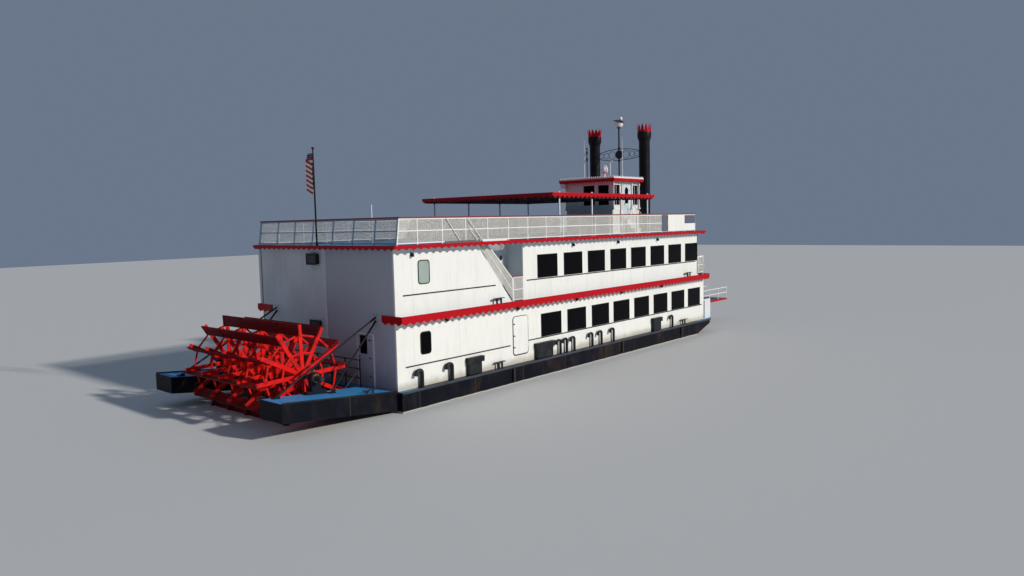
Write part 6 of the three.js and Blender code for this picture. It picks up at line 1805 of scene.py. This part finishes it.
# %% [markdown]
# ## Flagstaff and ensign
#
# The ensign hangs limp in the calm. It is cut 1.83 by 1.22 metres and gathered into four close folds beside the staff,
# the fly end sagging below the hoist. Its stripes and canton come from the cloth's own coordinates, laid over the mesh
# as it is folded, so they follow every fold.

# %% Flagstaff
STAFF_X, STAFF_Y, STAFF_TOP = -0.19, -0.04, 9.20
HALYARD_Z = ROOF + 1.05
TRUCK = [(0, 0), (0.03, 0.004), (0.055, 0.03), (0.060, 0.055), (0.05, 0.085), (0.025, 0.108), (0, 0.11)]
mesh = bmesh.new()
tube(mesh, [at(STAFF_X, STAFF_Y, z) for z in (ROOF + 0.02, 7.0, 8.4, STAFF_TOP)], [0.035, 0.035, 0.031, 0.024], 20)
turned(mesh, TRUCK, at(STAFF_X, STAFF_Y, STAFF_TOP - 0.005), sides=20)
box(mesh, at(-0.228, STAFF_Y - 0.09, ROOF + 0.0005), at(-0.115, STAFF_Y + 0.09, ROOF + 0.024))
turned(mesh, [(0, 0), (0.05, 0), (0.05, 0.10), (0.038, 0.12), (0, 0.12)], at(STAFF_X, STAFF_Y, ROOF + 0.02),
       sides=20)
tube(mesh, [at(STAFF_X - 0.028, STAFF_Y + dy, HALYARD_Z) for dy in (-0.08, 0.08)], 0.010, 8)
tube(mesh, [at(STAFF_X - 0.012, STAFF_Y - 0.036, HALYARD_Z),
            at(STAFF_X - 0.005, STAFF_Y - 0.032, STAFF_TOP - 0.04)], 0.004, 6)
piece("flag_pole", mesh, "fitting_black", stands_for=["flagstaff"])

# %% Ensign
FLY, HOIST = 1.83, 1.22
FOLDS, FOLD_STEP = 4, 0.030
HOIST_TOP = 9.07
CLOTH_X, CLOTH_Y = -0.1346, STAFF_Y + 0.0455
ACROSS, UPWARD = 180, 36
TURN_RADIUS = FOLD_STEP / 2
TURN_LENGTH = math.pi * TURN_RADIUS
LAYER = (FLY - (FOLDS - 1) * TURN_LENGTH) / FOLDS


def fold_point(length):
    """Where a point so far along the cloth lies when it is folded back and forth: (x, y) beside the staff."""
    k = min(int(length / (LAYER + TURN_LENGTH)), FOLDS - 1)
    left = length - k * (LAYER + TURN_LENGTH)
    outwards = k % 2 == 0
    if left <= LAYER or k == FOLDS - 1:
        return CLOTH_X - k * FOLD_STEP, CLOTH_Y + (left if outwards else LAYER - left)
    angle = (left - LAYER) / TURN_RADIUS
    bulge = TURN_RADIUS * math.sin(angle)
    return (CLOTH_X - k * FOLD_STEP - TURN_RADIUS * (1 - math.cos(angle)),
            CLOTH_Y + (LAYER + bulge if outwards else -bulge))


def sag(share):
    """How far the cloth has dropped by this share of the fly."""
    early, late = (min(max((share - start) / width, 0.0), 1.0) for start, width in ((0.20, 0.10), (0.70, 0.30)))
    return 0.19 * early * early * (3 - 2 * early) + 0.23 * late


mesh = bmesh.new()
grid = []
for i in range(ACROSS + 1):
    share = i / ACROSS
    x, y = fold_point(share * FLY)
    ripple = 0.008 * math.sin(share * 40.0)
    grid.append(corners(mesh, [
        at(x + ripple * math.sin(2.6 * j / UPWARD + share * 9), y,
           HOIST_TOP - sag(share) - HOIST * (1 - j / UPWARD)) for j in range(UPWARD + 1)]))
cloth_uv = mesh.loops.layers.uv.new("cloth")
for i in range(ACROSS):
    for j in range(UPWARD):
        cell = ((i, j), (i + 1, j), (i + 1, j + 1), (i, j + 1))
        face = mesh.faces.new([grid[u][v] for u, v in cell])
        for loop, (u, v) in zip(face.loops, cell):
            loop[cloth_uv].uv = (u / ACROSS, v / UPWARD)
ensign = piece("ensign_cloth", mesh, "cloth", stands_for=["ensign"])

# %% [markdown]
# ## Last small things
#
# A thin pole on the roof deck, the landing's plain door with its round light, and rubber fenders on the hull.

# %% Pole, landing door and fender
POLE_X, POLE_Y = 2.63, -0.045
LANDING_WALL_Y = -3.500
mesh = bmesh.new()
tube(mesh, [at(POLE_X, POLE_Y, ROOF + 0.004), at(POLE_X, POLE_Y, 7.04)], [0.026, 0.020], 12)
turned(mesh, [(0, 0), (0.07, 0), (0.07, 0.012), (0.03, 0.03), (0, 0.03)], at(POLE_X, POLE_Y, ROOF + 0.001),
       sides=20)
piece("roof_pole", mesh, "lamp_white", "rail_white")
mesh = bmesh.new()
box(mesh, at(6.455, LANDING_WALL_Y, SECOND + 0.03), at(7.245, LANDING_WALL_Y + 0.035, SECOND + 1.995))
piece("landing_door_panel", mesh, "inner_grey", bevel=0.003)
mesh = bmesh.new()
turned(mesh, [(0, 0), (0.10, 0), (0.10, 0.014), (0.075, 0.022), (0, 0.022)], at(6.96, LANDING_WALL_Y, 4.60),
       (0, -1, 0), 20)
piece("landing_door_light", mesh, "rubber_black", "fitting_black")
mesh = bmesh.new()
for side in SIDES.values():
    for x in (6.28, 14.9, 21.2):
        box(mesh, at(x - 0.07, side * (DECK_HALF + 0.0005), -0.67),
            at(x + 0.07, side * (DECK_HALF + 0.06), -0.085))
piece("hull_fenders", mesh, "rubber_black", "fitting_black", bevel=0.02)

# %% [markdown]
# ## Size
#
# Last, the box round everything is printed beside the model's own box.

low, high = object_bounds()
{"cad": [list(cad_low), list(cad_high)], "visual": [list(low), list(high)]}
print("model", [round(v, 3) for v in (*cad_low, *cad_high)])
print("dressed", [round(v, 3) for v in (*low, *high)])
